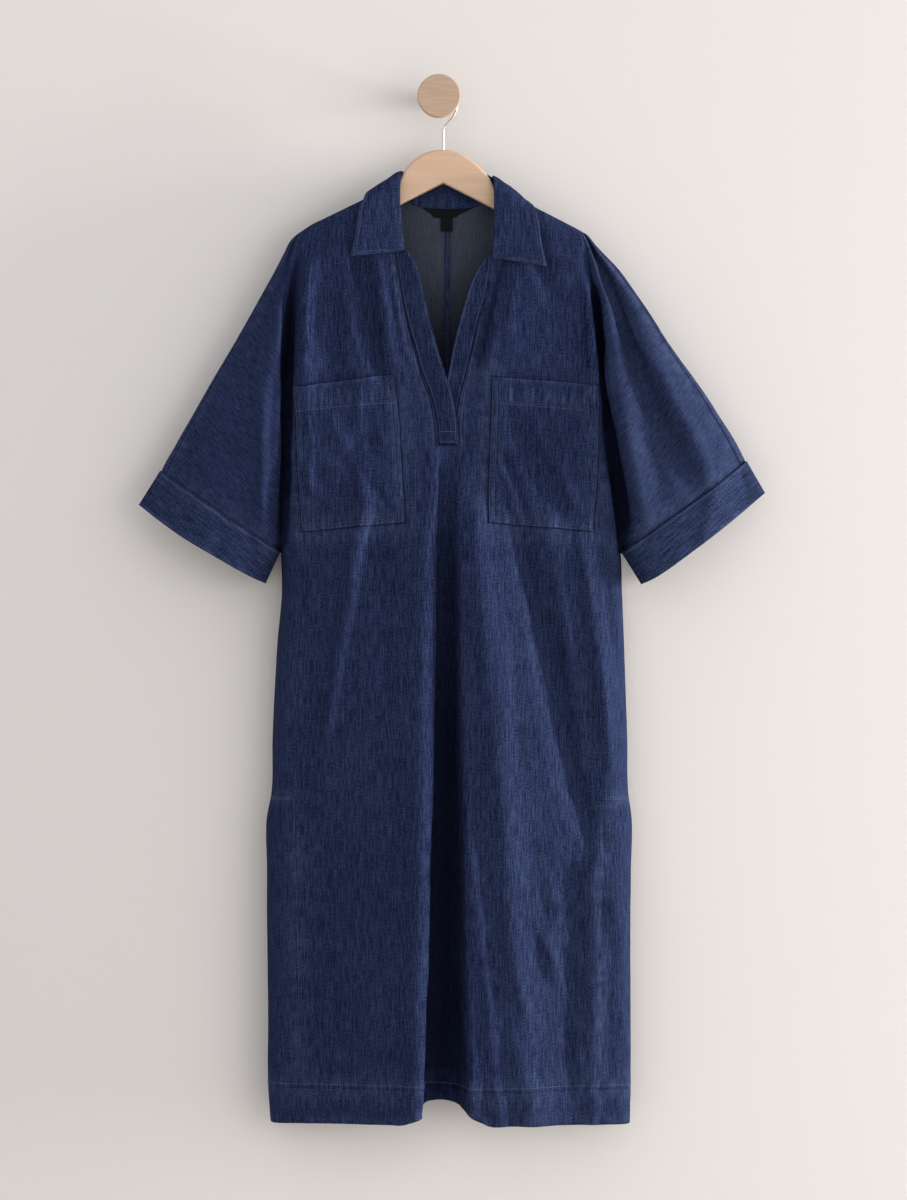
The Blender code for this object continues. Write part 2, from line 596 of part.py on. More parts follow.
def collar_grid():
    """The collar's points: stand, roll and fall at each place round the neck."""
    grid = []
    stations = []
    for first, second in zip(COLLAR, COLLAR[1:]):
        stations.append([float(v) for v in first[1:]])
    stations.append([float(v) for v in COLLAR[-1][1:]])
    for sx, sz, sd, rx, rz, rd, fx, fz, fd in stations:
        seam, roll, fall = Vector((sx, sd, sz)), Vector((rx, rd, rz)), Vector((fx, fd, fz))
        to_seam, to_fall = (seam - roll), (fall - roll)
        turn = min(3.2, to_seam.length * 0.45)
        inside = roll + to_seam.normalized() * turn
        outside = roll + to_fall.normalized() * turn
        # The two legs of the roll stay a little apart.
        apart = outside - inside
        if apart.length < 3.6:
            lift = apart.normalized() * ((3.6 - apart.length) / 2)
            inside, outside = inside - lift, outside + lift
        path = [seam, seam.lerp(inside, 0.5), inside, roll, outside]
        path += [outside.lerp(fall, t) for t in (0.3, 0.65, 1.0)]
        grid.append([world(p.x, p.y, p.z) for p in path])
    return grid


def cuff(name, front_row, back_row, mouth, wall, look):
    """A cuff: a short tube from the sleeve's seam to its open end."""
    # Both rows run from the overarm seam to the underarm.
    fronts = [p.copy() for p in front_row]
    top = fronts[1:-1]
    shares = [i / (len(front_row) - 1) for i in range(1, len(front_row) - 1)]
    backs = [along(back_row, t) for t in shares]
    ends = [world(m.x, 0, m.z) for m in mouth]
    outer = (front_row[0] + back_row[0]) / 2
    inner = (front_row[-1] + back_row[-1]) / 2
    inner += (outer - inner).normalized() * 3.5 * MM
    spread = 3.5 * MM
    loop_top = [outer + Vector((0, -spread, 0))] + top + [inner + Vector((0, -spread, 0))]
    loop_top += [inner + Vector((0, spread, 0))] + backs[::-1] + [outer + Vector((0, spread, 0))]
    fractions = [0.0] + shares + [1.0]
    order = fractions + fractions[::-1]
    loops = []
    for step in (0.0, 0.35, 0.7, 1.0):
        loop = []
        for place, (point, t) in enumerate(zip(loop_top, order)):
            end = along(ends, t)
            end = Vector((end.x, point.y, end.z))
            is_front = place < len(fractions)
            bulge = math.sin(math.pi * t)
            end.y += (-CUFF_SAG if is_front else CUFF_SAG * 0.3) * bulge * MM
            if not is_front:
                end.z += 4 * bulge * MM
            gap = (SEAM_GAP * 5 * MM) / max((end - point).length, 1e-6)
            loop.append(point.lerp(end, mix(gap, 1.0, step)))
        loops.append(loop)
    count = len(loop_top)
    bm = bmesh.new()
    rings = [[bm.verts.new(point) for point in loop] for loop in loops]
    edges = []
    for ring in rings:
        edges.append([bm.edges.new((ring[i], ring[(i + 1) % count])) for i in range(count)])
    for one, two in zip(rings, rings[1:]):
        for i in range(count):
            j = (i + 1) % count
            bm.faces.new((one[i], one[j], two[j], two[i]))
    bmesh.ops.recalc_face_normals(bm, faces=bm.faces[:])
    bmesh.ops.triangulate(bm, faces=bm.faces[:], quad_method="FIXED")
    return walled(named(name, bm, look), wall)


def inner_face(grids):
    """The backs' inner face, to lay the labels on."""
    trees = []
    for grid in grids:
        bm = sheet_mesh(grid)
        trees.append(BVHTree.FromBMesh(bm))
        bm.free()
    return trees


def depth_on(trees, x, z):
    """How far the backs' middle stands off the wall at one place."""
    for tree in trees:
        hit = tree.ray_cast(world(x, 200, z), Vector((0, 1, 0)))[0]
        if hit:
            return -hit.y / MM
    return depth_on(trees, x - 1.5, z)


def label_grid(wide_top, wide_foot, long, middle, top, trees, away, bow):
    """A label's points, hung from the neck seam inside the back."""
    grid = []
    for step in (0.0, 0.5, 1.0):
        row = []
        for across in (-0.5, -0.3, -0.1, 0.1, 0.3, 0.5):
            x = middle + across * mix(wide_top, wide_foot, ease(step))
            z = top - long * step + bow * across * across
            row.append(world(x, depth_on(trees, x, z) + away, z))
        grid.append(row)
    return grid


def hanger():
    """The wooden hanger, with rounded edges and the hook's hole."""
    bm = bmesh.new()
    back = -(HANGER_DEPTH - HANGER_THICK / 2) * MM
    outline = [bm.verts.new((x * MM, back, z * MM)) for x, z in HANGER_TOP + HANGER_UNDER]
    face = bm.faces.new(outline)
    pulled = bmesh.ops.extrude_face_region(bm, geom=[face])
    moved = [item for item in pulled["geom"] if isinstance(item, bmesh.types.BMVert)]
    bmesh.ops.translate(bm, verts=moved, vec=(0, -HANGER_THICK * MM, 0))
    bmesh.ops.recalc_face_normals(bm, faces=bm.faces[:])
    flat = [e for e in bm.edges if len(e.link_faces) == 2 and e.calc_face_angle(0) > 1.2]
    bmesh.ops.bevel(bm, geom=flat, offset=HANGER_ROUND * MM, segments=3, affect="EDGES", profile=0.5, clamp_overlap=True)
    obj = named("hanger", bm, BEECH)
    cutter_bm = bmesh.new()
    bmesh.ops.create_cone(cutter_bm, cap_ends=True, segments=16, radius1=HOLE_RADIUS * MM, radius2=HOLE_RADIUS * MM, depth=2 * HOLE_DEEP * MM)
    cutter = named("hook_hole", cutter_bm, BEECH)
    cutter.location = (5.9 * MM, -HANGER_DEPTH * MM, -71 * MM)
    cutter.hide_render = True
    cutter.hide_viewport = True
    hole = obj.modifiers.new("hole", "BOOLEAN")
    hole.operation = "DIFFERENCE"
    hole.object = cutter
    return obj


def hook():
    """The wire hook, bent over the peg's stem."""
    curve = bpy.data.curves.new("hook", "CURVE")
    curve.dimensions = "3D"
    curve.bevel_depth = WIRE_RADIUS * MM
    curve.bevel_resolution = 2
    curve.use_fill_caps = True
    curve.resolution_u = 4
    line = curve.splines.new("BEZIER")
    line.bezier_points.add(len(HOOK_PATH) - 1)
    for point, (x, z) in zip(line.bezier_points, HOOK_PATH):
        point.co = world(x, HANGER_DEPTH, z)
        point.handle_left_type = point.handle_right_type = "AUTO"
    curve.materials.append(finish_of(WIRE))
    obj = bpy.data.objects.new("hook", curve)
    bpy.context.scene.collection.objects.link(obj)
    return obj


def peg():
    """The round peg: a turned knob on its stem, flat against the wall."""
    profile = [
        (0, 0), (STEM_FOOT_RADIUS, 0), (STEM_FOOT_RADIUS, 3), (STEM_RADIUS, 6),
        (STEM_RADIUS, KNOB_BACK), (KNOB_RADIUS - 1.5, KNOB_BACK), (KNOB_RADIUS, KNOB_BACK + 1.5),
        (KNOB_RADIUS, KNOB_FRONT - 2), (KNOB_RADIUS - 2, KNOB_FRONT), (0, KNOB_FRONT),
    ]
    bm = bmesh.new()
    verts = [bm.verts.new((r * MM, -d * MM, 0)) for r, d in profile]
    edges = [bm.edges.new(pair) for pair in zip(verts, verts[1:])]
    bmesh.ops.spin(bm, geom=verts + edges, cent=(0, 0, 0), axis=(0, 1, 0), angle=math.tau, steps=40, use_merge=True)
    bmesh.ops.remove_doubles(bm, verts=bm.verts[:], dist=1e-6)
    bmesh.ops.recalc_face_normals(bm, faces=bm.faces[:])
    return named("peg", bm, PALE)


def main():
    """Builds every piece."""
    clear_scene()
    front = front_grid()
    cloth("front", front, CLOTH, DENIM)
    backs = [back_grid(LEFT, -1), back_grid(RIGHT, 1)]
    cloth("back_left", backs[0], CLOTH, DENIM)
    cloth("back_right", backs[1], CLOTH, DENIM)

    sewn = moved_out(front, ON_PANEL)
    first = SLEEVE_CELLS + 2
    last = len(front[0]) - 1 - first
    top, foot = ROW["pocket_top"], ROW["pocket_foot"]
    cloth("pocket_left", window(sewn, top, foot, first, first + POCKET_CELLS), CLOTH, REVERSE)
    cloth("pocket_right", window(sewn, top, foot, last - POCKET_CELLS, last), CLOTH, REVERSE)

    cloth("placket_over", strip_grid(OVER_EDGE, 0.6), CLOTH, REVERSE)
    cloth("placket_under", strip_grid(UNDER_EDGE, -0.6), CLOTH, REVERSE)
    cloth("collar", collar_grid(), COLLAR_CLOTH, REVERSE)

    seam = front[ROW["underarm"]]
    hem = [grid[ROW["underarm"]][: len(BACK_ACROSS)] for grid in backs]
    cuff("cuff_left", seam[: SLEEVE_CELLS + 1], hem[0], LEFT_MOUTH, CLOTH, REVERSE)
    cuff("cuff_right", seam[::-1][: SLEEVE_CELLS + 1], hem[1], RIGHT_MOUTH, CLOTH, REVERSE)

    trees = inner_face(backs)
    label = label_grid(LABEL_WIDE_TOP, LABEL_WIDE_FOOT, LABEL_LONG, 12.0, -153.0, trees, 2.4, 8)
    cloth("neck_label", label, LABEL_CLOTH, WOVEN)
    tab = label_grid(TAB_WIDE, TAB_WIDE, TAB_LONG, 11.0, -168.0, trees, 2.2, 0)
    cloth("size_tab", tab, LABEL_CLOTH, TAPE)

    hanger()
    hook()
    peg()


main()
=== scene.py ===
"""The looks of a denim kaftan dress on a beech hanger, hung from a wall peg.

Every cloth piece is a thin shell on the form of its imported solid: the same
named levels and folds, read smoothly, with the creases, puckers, seams and
stitches that a washed denim garment has. Sizes in the tables are
millimetres: x across, z up, and `d` the distance in front of the wall.
"""

from __future__ import annotations

import logging
import math
from bisect import bisect_right
from dataclasses import dataclass, field
from enum import Enum
from typing import Callable, Iterable, NamedTuple, Optional, Sequence

import bmesh
import bpy
from mathutils import Matrix, Vector, noise
from mathutils.bvhtree import BVHTree

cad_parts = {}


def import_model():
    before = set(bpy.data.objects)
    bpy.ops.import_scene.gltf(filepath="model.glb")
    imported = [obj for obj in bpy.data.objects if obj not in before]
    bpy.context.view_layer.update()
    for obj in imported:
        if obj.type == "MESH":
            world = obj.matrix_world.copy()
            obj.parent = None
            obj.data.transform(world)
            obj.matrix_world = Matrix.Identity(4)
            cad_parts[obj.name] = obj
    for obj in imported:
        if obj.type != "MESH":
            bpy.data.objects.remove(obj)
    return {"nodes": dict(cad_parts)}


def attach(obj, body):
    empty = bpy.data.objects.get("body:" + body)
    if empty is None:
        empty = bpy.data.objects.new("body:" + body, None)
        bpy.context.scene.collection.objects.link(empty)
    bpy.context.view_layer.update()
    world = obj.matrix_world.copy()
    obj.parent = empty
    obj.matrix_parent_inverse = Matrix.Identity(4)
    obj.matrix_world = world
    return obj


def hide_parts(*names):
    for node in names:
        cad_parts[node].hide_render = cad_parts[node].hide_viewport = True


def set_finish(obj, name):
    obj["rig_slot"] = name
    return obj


LOG = logging.getLogger("kaftan")
MM = 0.001
CLOTH_WALL = 0.9
POCKET_WALL = 1.0
STRIP_WALL = 1.5
CUFF_WALL = 1.6
LABEL_WALL = 0.7
BINDING_WALL = 0.8
COLLAR_WALL = 2.0
SEAM_WIDE = 1.5  # of the ditch along a seam

Row = list[Optional[Vector]]
Net = list[Row]
Pair = tuple[float, float]
Value = Callable[[float, float, Vector], float]  # of a level, a column and a point
Moved = Callable[[float, float, Vector], Vector]
Socket = bpy.types.NodeSocket


class Look(Enum):
    """The finishes of the object and of its surroundings."""

    DENIM = "denim"
    DENIM_TRIM = "denim_trim"
    REVERSE = "denim_reverse"
    THREAD = "topstitch_thread"
    LABEL = "woven_label"
    BEECH = "beech_lacquer"
    PEG_FACE = "peg_end_grain"
    WIRE = "nickel_wire"
    WALL = "painted_wall"
    FLOOR = "pale_floor"


class Facing(Enum):
    """The side that a piece of cloth shows outwards."""

    ROOM = -1.0
    WALL = 1.0


class Half(NamedTuple):
    """One level of a half of the front, in millimetres."""

    name: str
    over_x: Optional[float]
    over_z: Optional[float]
    side_x: float
    side_z: float
    fold_x: float
    pocket_x: float
    inner_x: float
    inner_z: float
    edge_x: float
    edge_z: float


class Depth(NamedTuple):
    """How far one level of the front stands off the wall, in millimetres."""

    over: float
    sleeve: float
    side: float
    fold: float
    pocket: float
    middle: float
    inner: float
    edge: float
    pleat: float


class Back(NamedTuple):
    """How one level of the backs lies, in millimetres."""

    curve: float
    side: float
    middle: float
    neck: float
    centre: float
    sleeve: float


class Fold(NamedTuple):
    """A large fold from its head to its foot, in millimetres."""

    name: str
    head_x: float
    head_z: float
    foot_x: float
    foot_z: float
    half_wide: float
    high: float
    fade: float


class SleeveFold(NamedTuple):
    """A fold that runs down a sleeve from the shoulder's tip."""

    name: str
    across: float
    half_wide: float
    high: float
    gone: float


class Edge(NamedTuple):
    """One level of a placket strip, in millimetres."""

    seam_x: float
    seam_z: float
    seam_d: float
    free_x: float
    free_z: float
    free_d: float


class Neck(NamedTuple):
    """One place round the collar: stand, roll and fall."""

    name: str
    sx: float
    sz: float
    sd: float
    rx: float
    rz: float
    rd: float
    fx: float
    fz: float
    fd: float


class Mouth(NamedTuple):
    """A place on the free end of a cuff."""

    x: float
    z: float


class Crease(NamedTuple):
    """A small crease, a ridge if high is positive."""

    x0: float
    z0: float
    x1: float
    z1: float
    wide: float
    high: float
    bend: float


# ---------------------------------------------------------------- named sizes
LEFT: list[Half] = [
    Half("seam", -191, -185, -173, -173, -163, -150, -99, -137, -60, -110),
    Half("ridge", -196, -189, -177, -178, -167, -153, -99, -140, -60, -113),
    Half("arm", -202, -196, -185, -193, -175, -158, -99, -150, -60, -123),
    Half("collar", -210, -212, -193, -222, -186, -170, -90, -176, -62, -162),
    Half("slit_top", -223, -237, -198, -253, -192, -180, -80, -222, -59, -210),
    Half("chest_a", -244, -275, -200, -286, -193, -182, -70, -266, -53, -253),
    Half("chest_b", -263, -309, -201, -318, -195, -186, -65, -303, -45, -295),
    Half("chest_c", -282, -342, -204, -356, -197, -191, -61, -340, -34, -336),
    Half("pocket_top", -300, -372, -207, -394, -200, -196, -59, -376, -23, -375),
    Half("pocket_hem", -319, -405, -208, -426, -201, -194, -55, -412, -10, -409),
    Half("pocket_a", -336, -435, -209, -457, -202, -193, -52, -442, -3, -440),
    Half("slit_foot", -350, -459, -210, -492, -203, -192, -50, -475, -1, -472),
    Half("pocket_b", -360, -477, -213, -540, -206, -189, -47, -526, -2, -523),
    Half("pocket_foot", -369, -492, -214, -592, -208, -186, -44, -577, -3, -573),
    Half("underarm", -377, -508, -214, -617, -209, -189, -46, -614, -4, -611),
    Half("waist", None, None, -213, -673, -206, -192, -47, -671, -5, -669),
    Half("hip_a", None, None, -219, -739, -212, -198, -48, -738, -6, -737),
    Half("hip_b", None, None, -223, -804, -216, -202, -48, -804, -7, -803),
    Half("hip_c", None, None, -226, -870, -219, -205, -48, -870, -8, -870),
    Half("slit_head", None, None, -228, -946, -221, -206, -49, -942, -10, -942),
    Half("slit_open", None, None, -233, -973, -226, -205, -49, -973, -11, -973),
    Half("skirt_a", None, None, -233, -1043, -226, -203, -49, -1043, -13, -1043),
    Half("skirt_b", None, None, -233, -1111, -226, -201, -50, -1111, -15, -1111),
    Half("skirt_c", None, None, -232, -1178, -225, -199, -50, -1178, -17, -1178),
    Half("skirt_d", None, None, -231, -1246, -224, -198, -50, -1246, -20, -1246),
    Half("hem_stitch", None, None, -231, -1338, -224, -198, -50, -1338, -23, -1338),
    Half("hem", None, None, -228, -1387, -222, -197, -50, -1386, -25, -1378),
]
RIGHT: list[Half] = [
    Half("seam", 200, -186, 184, -177, 174, 160, 120, -144, 80, -117),
    Half("ridge", 204, -190, 188, -182, 178, 163, 120, -147, 80, -120),
    Half("arm", 210, -198, 194, -194, 184, 167, 119, -157, 82, -130),
    Half("collar", 221, -210, 201, -222, 194, 180, 104, -196, 83.5, -194),
    Half("slit_top", 242, -232, 207, -253, 202, 189, 89, -230, 70, -222),
    Half("chest_a", 266, -265, 213, -286, 207, 196, 81, -272, 65, -264),
    Half("chest_b", 288, -297, 217, -318, 213, 203, 76, -307, 55, -299),
    Half("chest_c", 308, -329, 221, -356, 216, 209, 73, -341, 46, -338),
    Half("pocket_top", 327, -356, 225, -391, 219, 214, 71, -379, 37, -376),
    Half("pocket_hem", 347, -383, 226, -426, 219, 215, 70, -413, 28, -410),
    Half("pocket_a", 365, -409, 227, -457, 219, 215, 69, -445, 24, -441),
    Half("slit_foot", 382, -436, 230, -492, 223, 215, 68, -476, 25, -472),
    Half("pocket_b", 394, -454, 235, -540, 230, 213, 66, -526, 25, -523),
    Half("pocket_foot", 405, -473, 242, -592, 236, 209, 66, -577, 26, -573),
    Half("underarm", 416, -495, 246, -618, 240, 212, 66, -614, 27, -611),
    Half("waist", None, None, 248, -673, 241, 222, 66, -671, 29, -669),
    Half("hip_a", None, None, 251, -739, 244, 228, 66, -738, 30, -737),
    Half("hip_b", None, None, 253, -804, 246, 231, 66, -804, 32, -803),
    Half("hip_c", None, None, 255, -870, 248, 233, 66, -870, 34, -870),
    Half("slit_head", None, None, 257, -946, 250, 228, 66, -942, 36, -942),
    Half("slit_open", None, None, 261, -973, 254, 227, 66, -973, 37, -973),
    Half("skirt_a", None, None, 260, -1043, 253, 226, 67, -1043, 38, -1043),
    Half("skirt_b", None, None, 259, -1111, 252, 226, 67, -1111, 40, -1111),
    Half("skirt_c", None, None, 259, -1178, 252, 225, 67, -1178, 41, -1178),
    Half("skirt_d", None, None, 259, -1246, 252, 225, 68, -1246, 43, -1246),
    Half("hem_stitch", None, None, 259, -1340, 252, 225, 68, -1342, 45, -1342),
    Half("hem", None, None, 258, -1389, 251, 225, 68, -1388, 46, -1378),
]
ROW = {row.name: index for index, row in enumerate(LEFT)}
FRONT_DEPTH: list[Depth] = [
    Depth(45, 45.8, 45.8, 45.8, 45.8, 45.8, 45.8, 45.8, 0),
    Depth(45, 49, 51, 51, 51, 51, 51, 51, 0),
    Depth(45, 53, 56, 56, 56, 56.5, 57, 57, 0),
    Depth(45, 57, 54.5, 59, 61, 62, 62, 61, 0),
    Depth(45, 61, 50, 59, 63, 65, 65, 63, 0),
    Depth(45, 65, 47, 60, 65, 68, 68, 66, 0),
    Depth(44.5, 69, 46, 60, 66, 70, 70, 68, 0),
    Depth(44, 71, 46, 61, 67, 71, 71, 69, 0),
    Depth(44, 73, 46, 62, 68, 72, 72, 70, 0),
    Depth(43.5, 75, 46, 62, 69, 73, 73, 71, 0),
    Depth(43, 76, 46, 62, 70, 74, 74, 72, 0),
    Depth(43, 76, 46, 62, 70, 75, 75, 73, 0),
    Depth(42.5, 76, 46, 61, 70, 76, 76, 77, 10),
    Depth(42, 75, 43, 58, 69, 77, 77, 79, 20),
    Depth(42, 73, 34, 54, 68, 77, 78, 81, 28),
    Depth(0, 0, 30, 50, 66, 77, 79, 82, 33),
    Depth(0, 0, 30, 50, 66, 77, 79, 83, 37),
    Depth(0, 0, 30, 50, 66, 77, 79, 84, 41),
    Depth(0, 0, 30, 50, 66, 77, 79, 84, 44),
    Depth(0, 0, 30, 50, 66, 77, 79, 85, 47),
    Depth(0, 0, 30, 50, 66, 77, 79, 85, 49),
    Depth(0, 0, 30, 50, 66, 77, 79, 86, 52),
    Depth(0, 0, 30, 50, 66, 77, 79, 86, 54),
    Depth(0, 0, 30, 50, 65, 77, 80, 87, 57),
    Depth(0, 0, 30, 50, 65, 77, 80, 87, 59),
    Depth(0, 0, 30, 50, 65, 77, 80, 88, 61),
    Depth(0, 0, 30, 50, 65, 77, 80, 88, 62),
]

FRONT_FOLDS: list[Fold] = [
    Fold("chest_ridge_left", -184, -215, -181, -400, 11, 11, 50),
    Fold("chest_trough_left", -146, -230, -134, -420, 16, -6, 60),
    Fold("beside_placket_left", -112, -208, -74, -390, 12, -13, 50),
    Fold("beside_placket_right", 84, -222, 46, -372, 10, -12, 50),
    Fold("shoulder_drag_right", 120, -170, 176, -330, 13, -6, 60),
    Fold("pocket_drag_right", 100, -440, 182, -600, 15, -6, 60),
    Fold("pocket_drag_left", -86, -440, -150, -600, 18, -4, 60),
    Fold("hip_ridge_left", -103, -560, -154, -880, 12, 18, 80),
    Fold("side_ridge_left", -190, -690, -188, -840, 9, 4, 60),
    Fold("centre_trough_left", -78, -600, -70, -1000, 16, -7, 120),
    Fold("pleat_rise_left", -20, -560, -36, -1395, 17, 9, 140),
    Fold("lip_fall_left", 0, -600, -12, -1395, 12, -6, 120),
    Fold("skirt_ridge_left", -182, -960, -177, -1395, 9, 5, 100),
    Fold("centre_crest_right", 46, -560, 128, -1395, 20, 13, 120),
    Fold("lip_ridge_right", 40, -990, 84, -1395, 10, 6, 100),
    Fold("diagonal_right", 109, -595, 199, -990, 15, -19, 120),
    Fold("hip_ridge_right", 195, -610, 234, -900, 11, 15, 80),
    Fold("skirt_trough_right", 172, -1060, 181, -1320, 14, -6, 140),
    Fold("skirt_ridge_right", 208, -1000, 208, -1395, 13, 7, 120),
]
LEFT_SLEEVE_FOLDS: list[SleeveFold] = [
    SleeveFold("left_roll", 0.30, 0.16, 4, 1.0),
    SleeveFold("left_trough", 0.58, 0.16, -7, 0.75),
]
RIGHT_SLEEVE_FOLDS: list[SleeveFold] = [
    SleeveFold("right_roll", 0.30, 0.14, 4, 0.9),
    SleeveFold("right_trough", 0.55, 0.14, -13, 0.7),
    SleeveFold("right_outer_roll", 0.78, 0.12, 3, 1.1),
]

NECK_DROP = {-1: [0.0, 11.0, 30.0, 37.0], 1: [0.0, 10.5, 27.5, 30.0]}
NECK_X = {-1: [-60.0, -56.5, -33.0, 10.35], 1: [80.0, 76.5, 54.0, 10.65]}
SEAM_HALF = 0.5  # half the space between the layers at the overarm seam
BACK_DEPTH: list[Back] = [
    Back(1.00, 44.2, 44.2, 44.2, 30.0, 44.2),
    Back(1.00, 39.0, 39.0, 39.0, 29.5, 41),
    Back(0.95, 34.0, 34.0, 34.0, 29.0, 36),
    Back(0.55, 30.0, 30.0, 30.0, 27.0, 31),
    Back(0.30, 28.0, 26.0, 26.0, 25.0, 26),
    Back(0.15, 28.0, 24.0, 23.0, 22.0, 23),
    Back(0.05, 28.0, 22.0, 21.0, 20.0, 21),
    Back(0.00, 28.0, 21.0, 20.0, 19.0, 20),
    Back(0.00, 28.0, 20.0, 19.0, 18.0, 19),
    Back(0.00, 28.0, 19.0, 18.0, 17.0, 18),
    Back(0.00, 28.0, 19.0, 18.0, 16.0, 18),
    Back(0.00, 29.0, 18.0, 17.0, 15.0, 18),
    Back(0.00, 29.0, 18.0, 17.0, 15.0, 18),
    Back(0.00, 31.0, 18.0, 17.0, 14.0, 19),
    Back(0.00, 34.0, 18.0, 17.0, 14.0, 20),
] + [Back(0.00, 30.0, 18.0, 16.0, 13.0, 0)] * 12
BACK_FOLDS: list[Fold] = [
    Fold("back_left_a", -120, -260, -128, -1370, 24, -6, 200),
    Fold("back_left_b", -62, -600, -58, -1370, 20, -4, 200),
    Fold("back_right_a", 142, -260, 150, -1370, 24, -6, 200),
    Fold("back_right_b", 82, -600, 78, -1370, 20, -4, 200),
]
BACK_HEM_LIFT = 32.0
OVER_EDGE: list[Edge] = [
    Edge(-58.2, -208, 63.3, -42, -209.5, 65.6),
    Edge(-55.4, -231, 64.6, -29, -232, 68.0),
    Edge(-52.2, -253, 66.0, -24, -253, 69.0),
    Edge(-44.2, -295, 68.0, -14, -295, 71.0),
    Edge(-33.2, -336, 69.0, -4, -335, 72.0),
    Edge(-22.2, -375, 70.0, 8, -374, 73.5),
    Edge(-9.2, -409, 71.0, 19, -409, 75.0),
    Edge(-2.2, -440, 72.0, 24, -440, 75.5),
    Edge(-0.2, -471, 73.0, 25, -471, 75.5),
]
UNDER_EDGE: list[Edge] = [
    Edge(70.6, -212, 62.6, 65, -215, 61.0),
    Edge(67.6, -236, 64.0, 52, -236, 62.5),
    Edge(66.0, -250, 65.0, 45, -250, 63.5),
    Edge(63.6, -264, 66.0, 39.8, -265, 64.0),
    Edge(54.2, -299, 67.6, 29.8, -299, 65.0),
    Edge(45.2, -338, 68.6, 20, -338, 66.0),
    Edge(36.2, -376, 69.6, 13, -376, 67.0),
    Edge(27.2, -410, 70.2, 7, -410, 68.0),
    Edge(23.2, -441, 70.8, 2, -441, 69.4),
    Edge(24.2, -471, 71.4, 2, -471, 70.0),
]

COLLAR: list[Neck] = [
    Neck("left_end", -57.0, -204, 63.6, -47, -209, 68.5, -119, -217.5, 74.5),
    Neck("left_low", -58.8, -176, 62.4, -51, -176, 66.6, -112, -182, 71.5),
    Neck("left_mid", -59.0, -150, 60.4, -53, -147, 64.6, -107, -151, 69.0),
    Neck("left_high", -57.6, -126, 58.2, -53, -122, 61.5, -101, -139, 65.5),
    Neck("left_front", -56.8, -110, 55.0, -52, -104, 56.5, -98, -133, 57.5),
    Neck("left_top", -56.4, -106.5, 45.5, -51, -100.5, 45.5, -95, -129, 46.5),
    Neck("left_behind", -55.6, -110, 35.6, -49, -101, 34.0, -92, -131.5, 34.5),
    Neck("left_nape", -51.0, -129, 34.4, -43, -97, 28.5, -84, -139, 23.0),
    Neck("left_back", -32.0, -145, 33.4, -30, -96.5, 27.0, -57, -156, 17.5),
    Neck("centre_left", -10.0, -149.0, 32.6, -10, -96, 25.0, -22, -168, 15.0),
    Neck("centre_back", 10.5, -150, 32.4, 11, -96, 24.5, 11, -171, 14.5),
    Neck("centre_right", 31.0, -149.5, 32.6, 32, -98, 25.0, 44, -169, 15.0),
    Neck("right_back", 53.0, -145.5, 33.4, 52, -101, 27.0, 79, -160, 17.5),
    Neck("right_nape", 71.0, -134, 34.4, 64, -103, 28.5, 105, -145, 23.0),
    Neck("right_behind", 75.6, -118, 35.6, 71, -108, 34.0, 113, -140.5, 34.5),
    Neck("right_top", 76.6, -114, 45.5, 73, -107, 45.5, 118.5, -140, 46.5),
    Neck("right_front", 77.2, -118, 55.0, 74, -110, 56.5, 123.5, -145, 57.5),
    Neck("right_high", 79.6, -134, 58.2, 75, -130, 61.5, 128.5, -151, 65.5),
    Neck("right_mid", 81.2, -160, 60.6, 75, -157, 65.0, 133, -164, 69.5),
    Neck("right_low", 80.4, -188, 61.8, 75, -188, 66.8, 138, -197, 72.0),
    Neck("right_end", 75.0, -206, 62.6, 73, -219, 69.0, 145, -231, 75.0),
]

LEFT_MOUTH: list[Mouth] = [
    Mouth(-406, -552), Mouth(-384, -569), Mouth(-349, -594), Mouth(-302, -622),
    Mouth(-269, -641), Mouth(-250, -651), Mouth(-236, -658),
]
RIGHT_MOUTH: list[Mouth] = [
    Mouth(441, -536), Mouth(403, -568), Mouth(357, -604), Mouth(330, -624),
    Mouth(305, -642), Mouth(289, -652), Mouth(275, -659),
]
CUFF_SAG = 7.0
LABEL_WIDE_TOP, LABEL_WIDE_FOOT, LABEL_LONG = 72.0, 32.0, 15.0
TAB_WIDE, TAB_LONG = 15.6, 20.0
HANGER_TOP = [
    (-178, -190), (-175, -182.5), (-168, -176), (-99, -142), (-60, -121),
    (-55, -115.5), (-50, -106), (-45, -97), (-36, -87), (-17, -75), (6, -71),
    (26, -75), (45, -86), (58, -97.5), (70, -112.5), (75, -122), (80, -128),
    (120, -149), (176, -178), (183, -185), (187, -191),
]
HANGER_UNDER = [
    (187, -201), (181, -206), (120, -175.2), (73, -150.8), (6, -116.5),
    (-53, -146), (-99, -168.7), (-172, -205), (-178, -200),
]
HOOK_PATH = [
    (-29, -4), (-24, 4), (-13, 9.6), (0, 10.9), (13, 8.4), (22, 0),
    (24.6, -12), (20.4, -24), (12, -34.5), (7, -41), (5.9, -48), (5.9, -60),
    (5.9, -71), (5.9, -88),
]

def creases_of(*rows: tuple[float, ...]) -> list[Crease]:
    """Rows of x0, z0, x1, z1, wide, high and bend as creases."""
    return [Crease(*row) for row in rows]
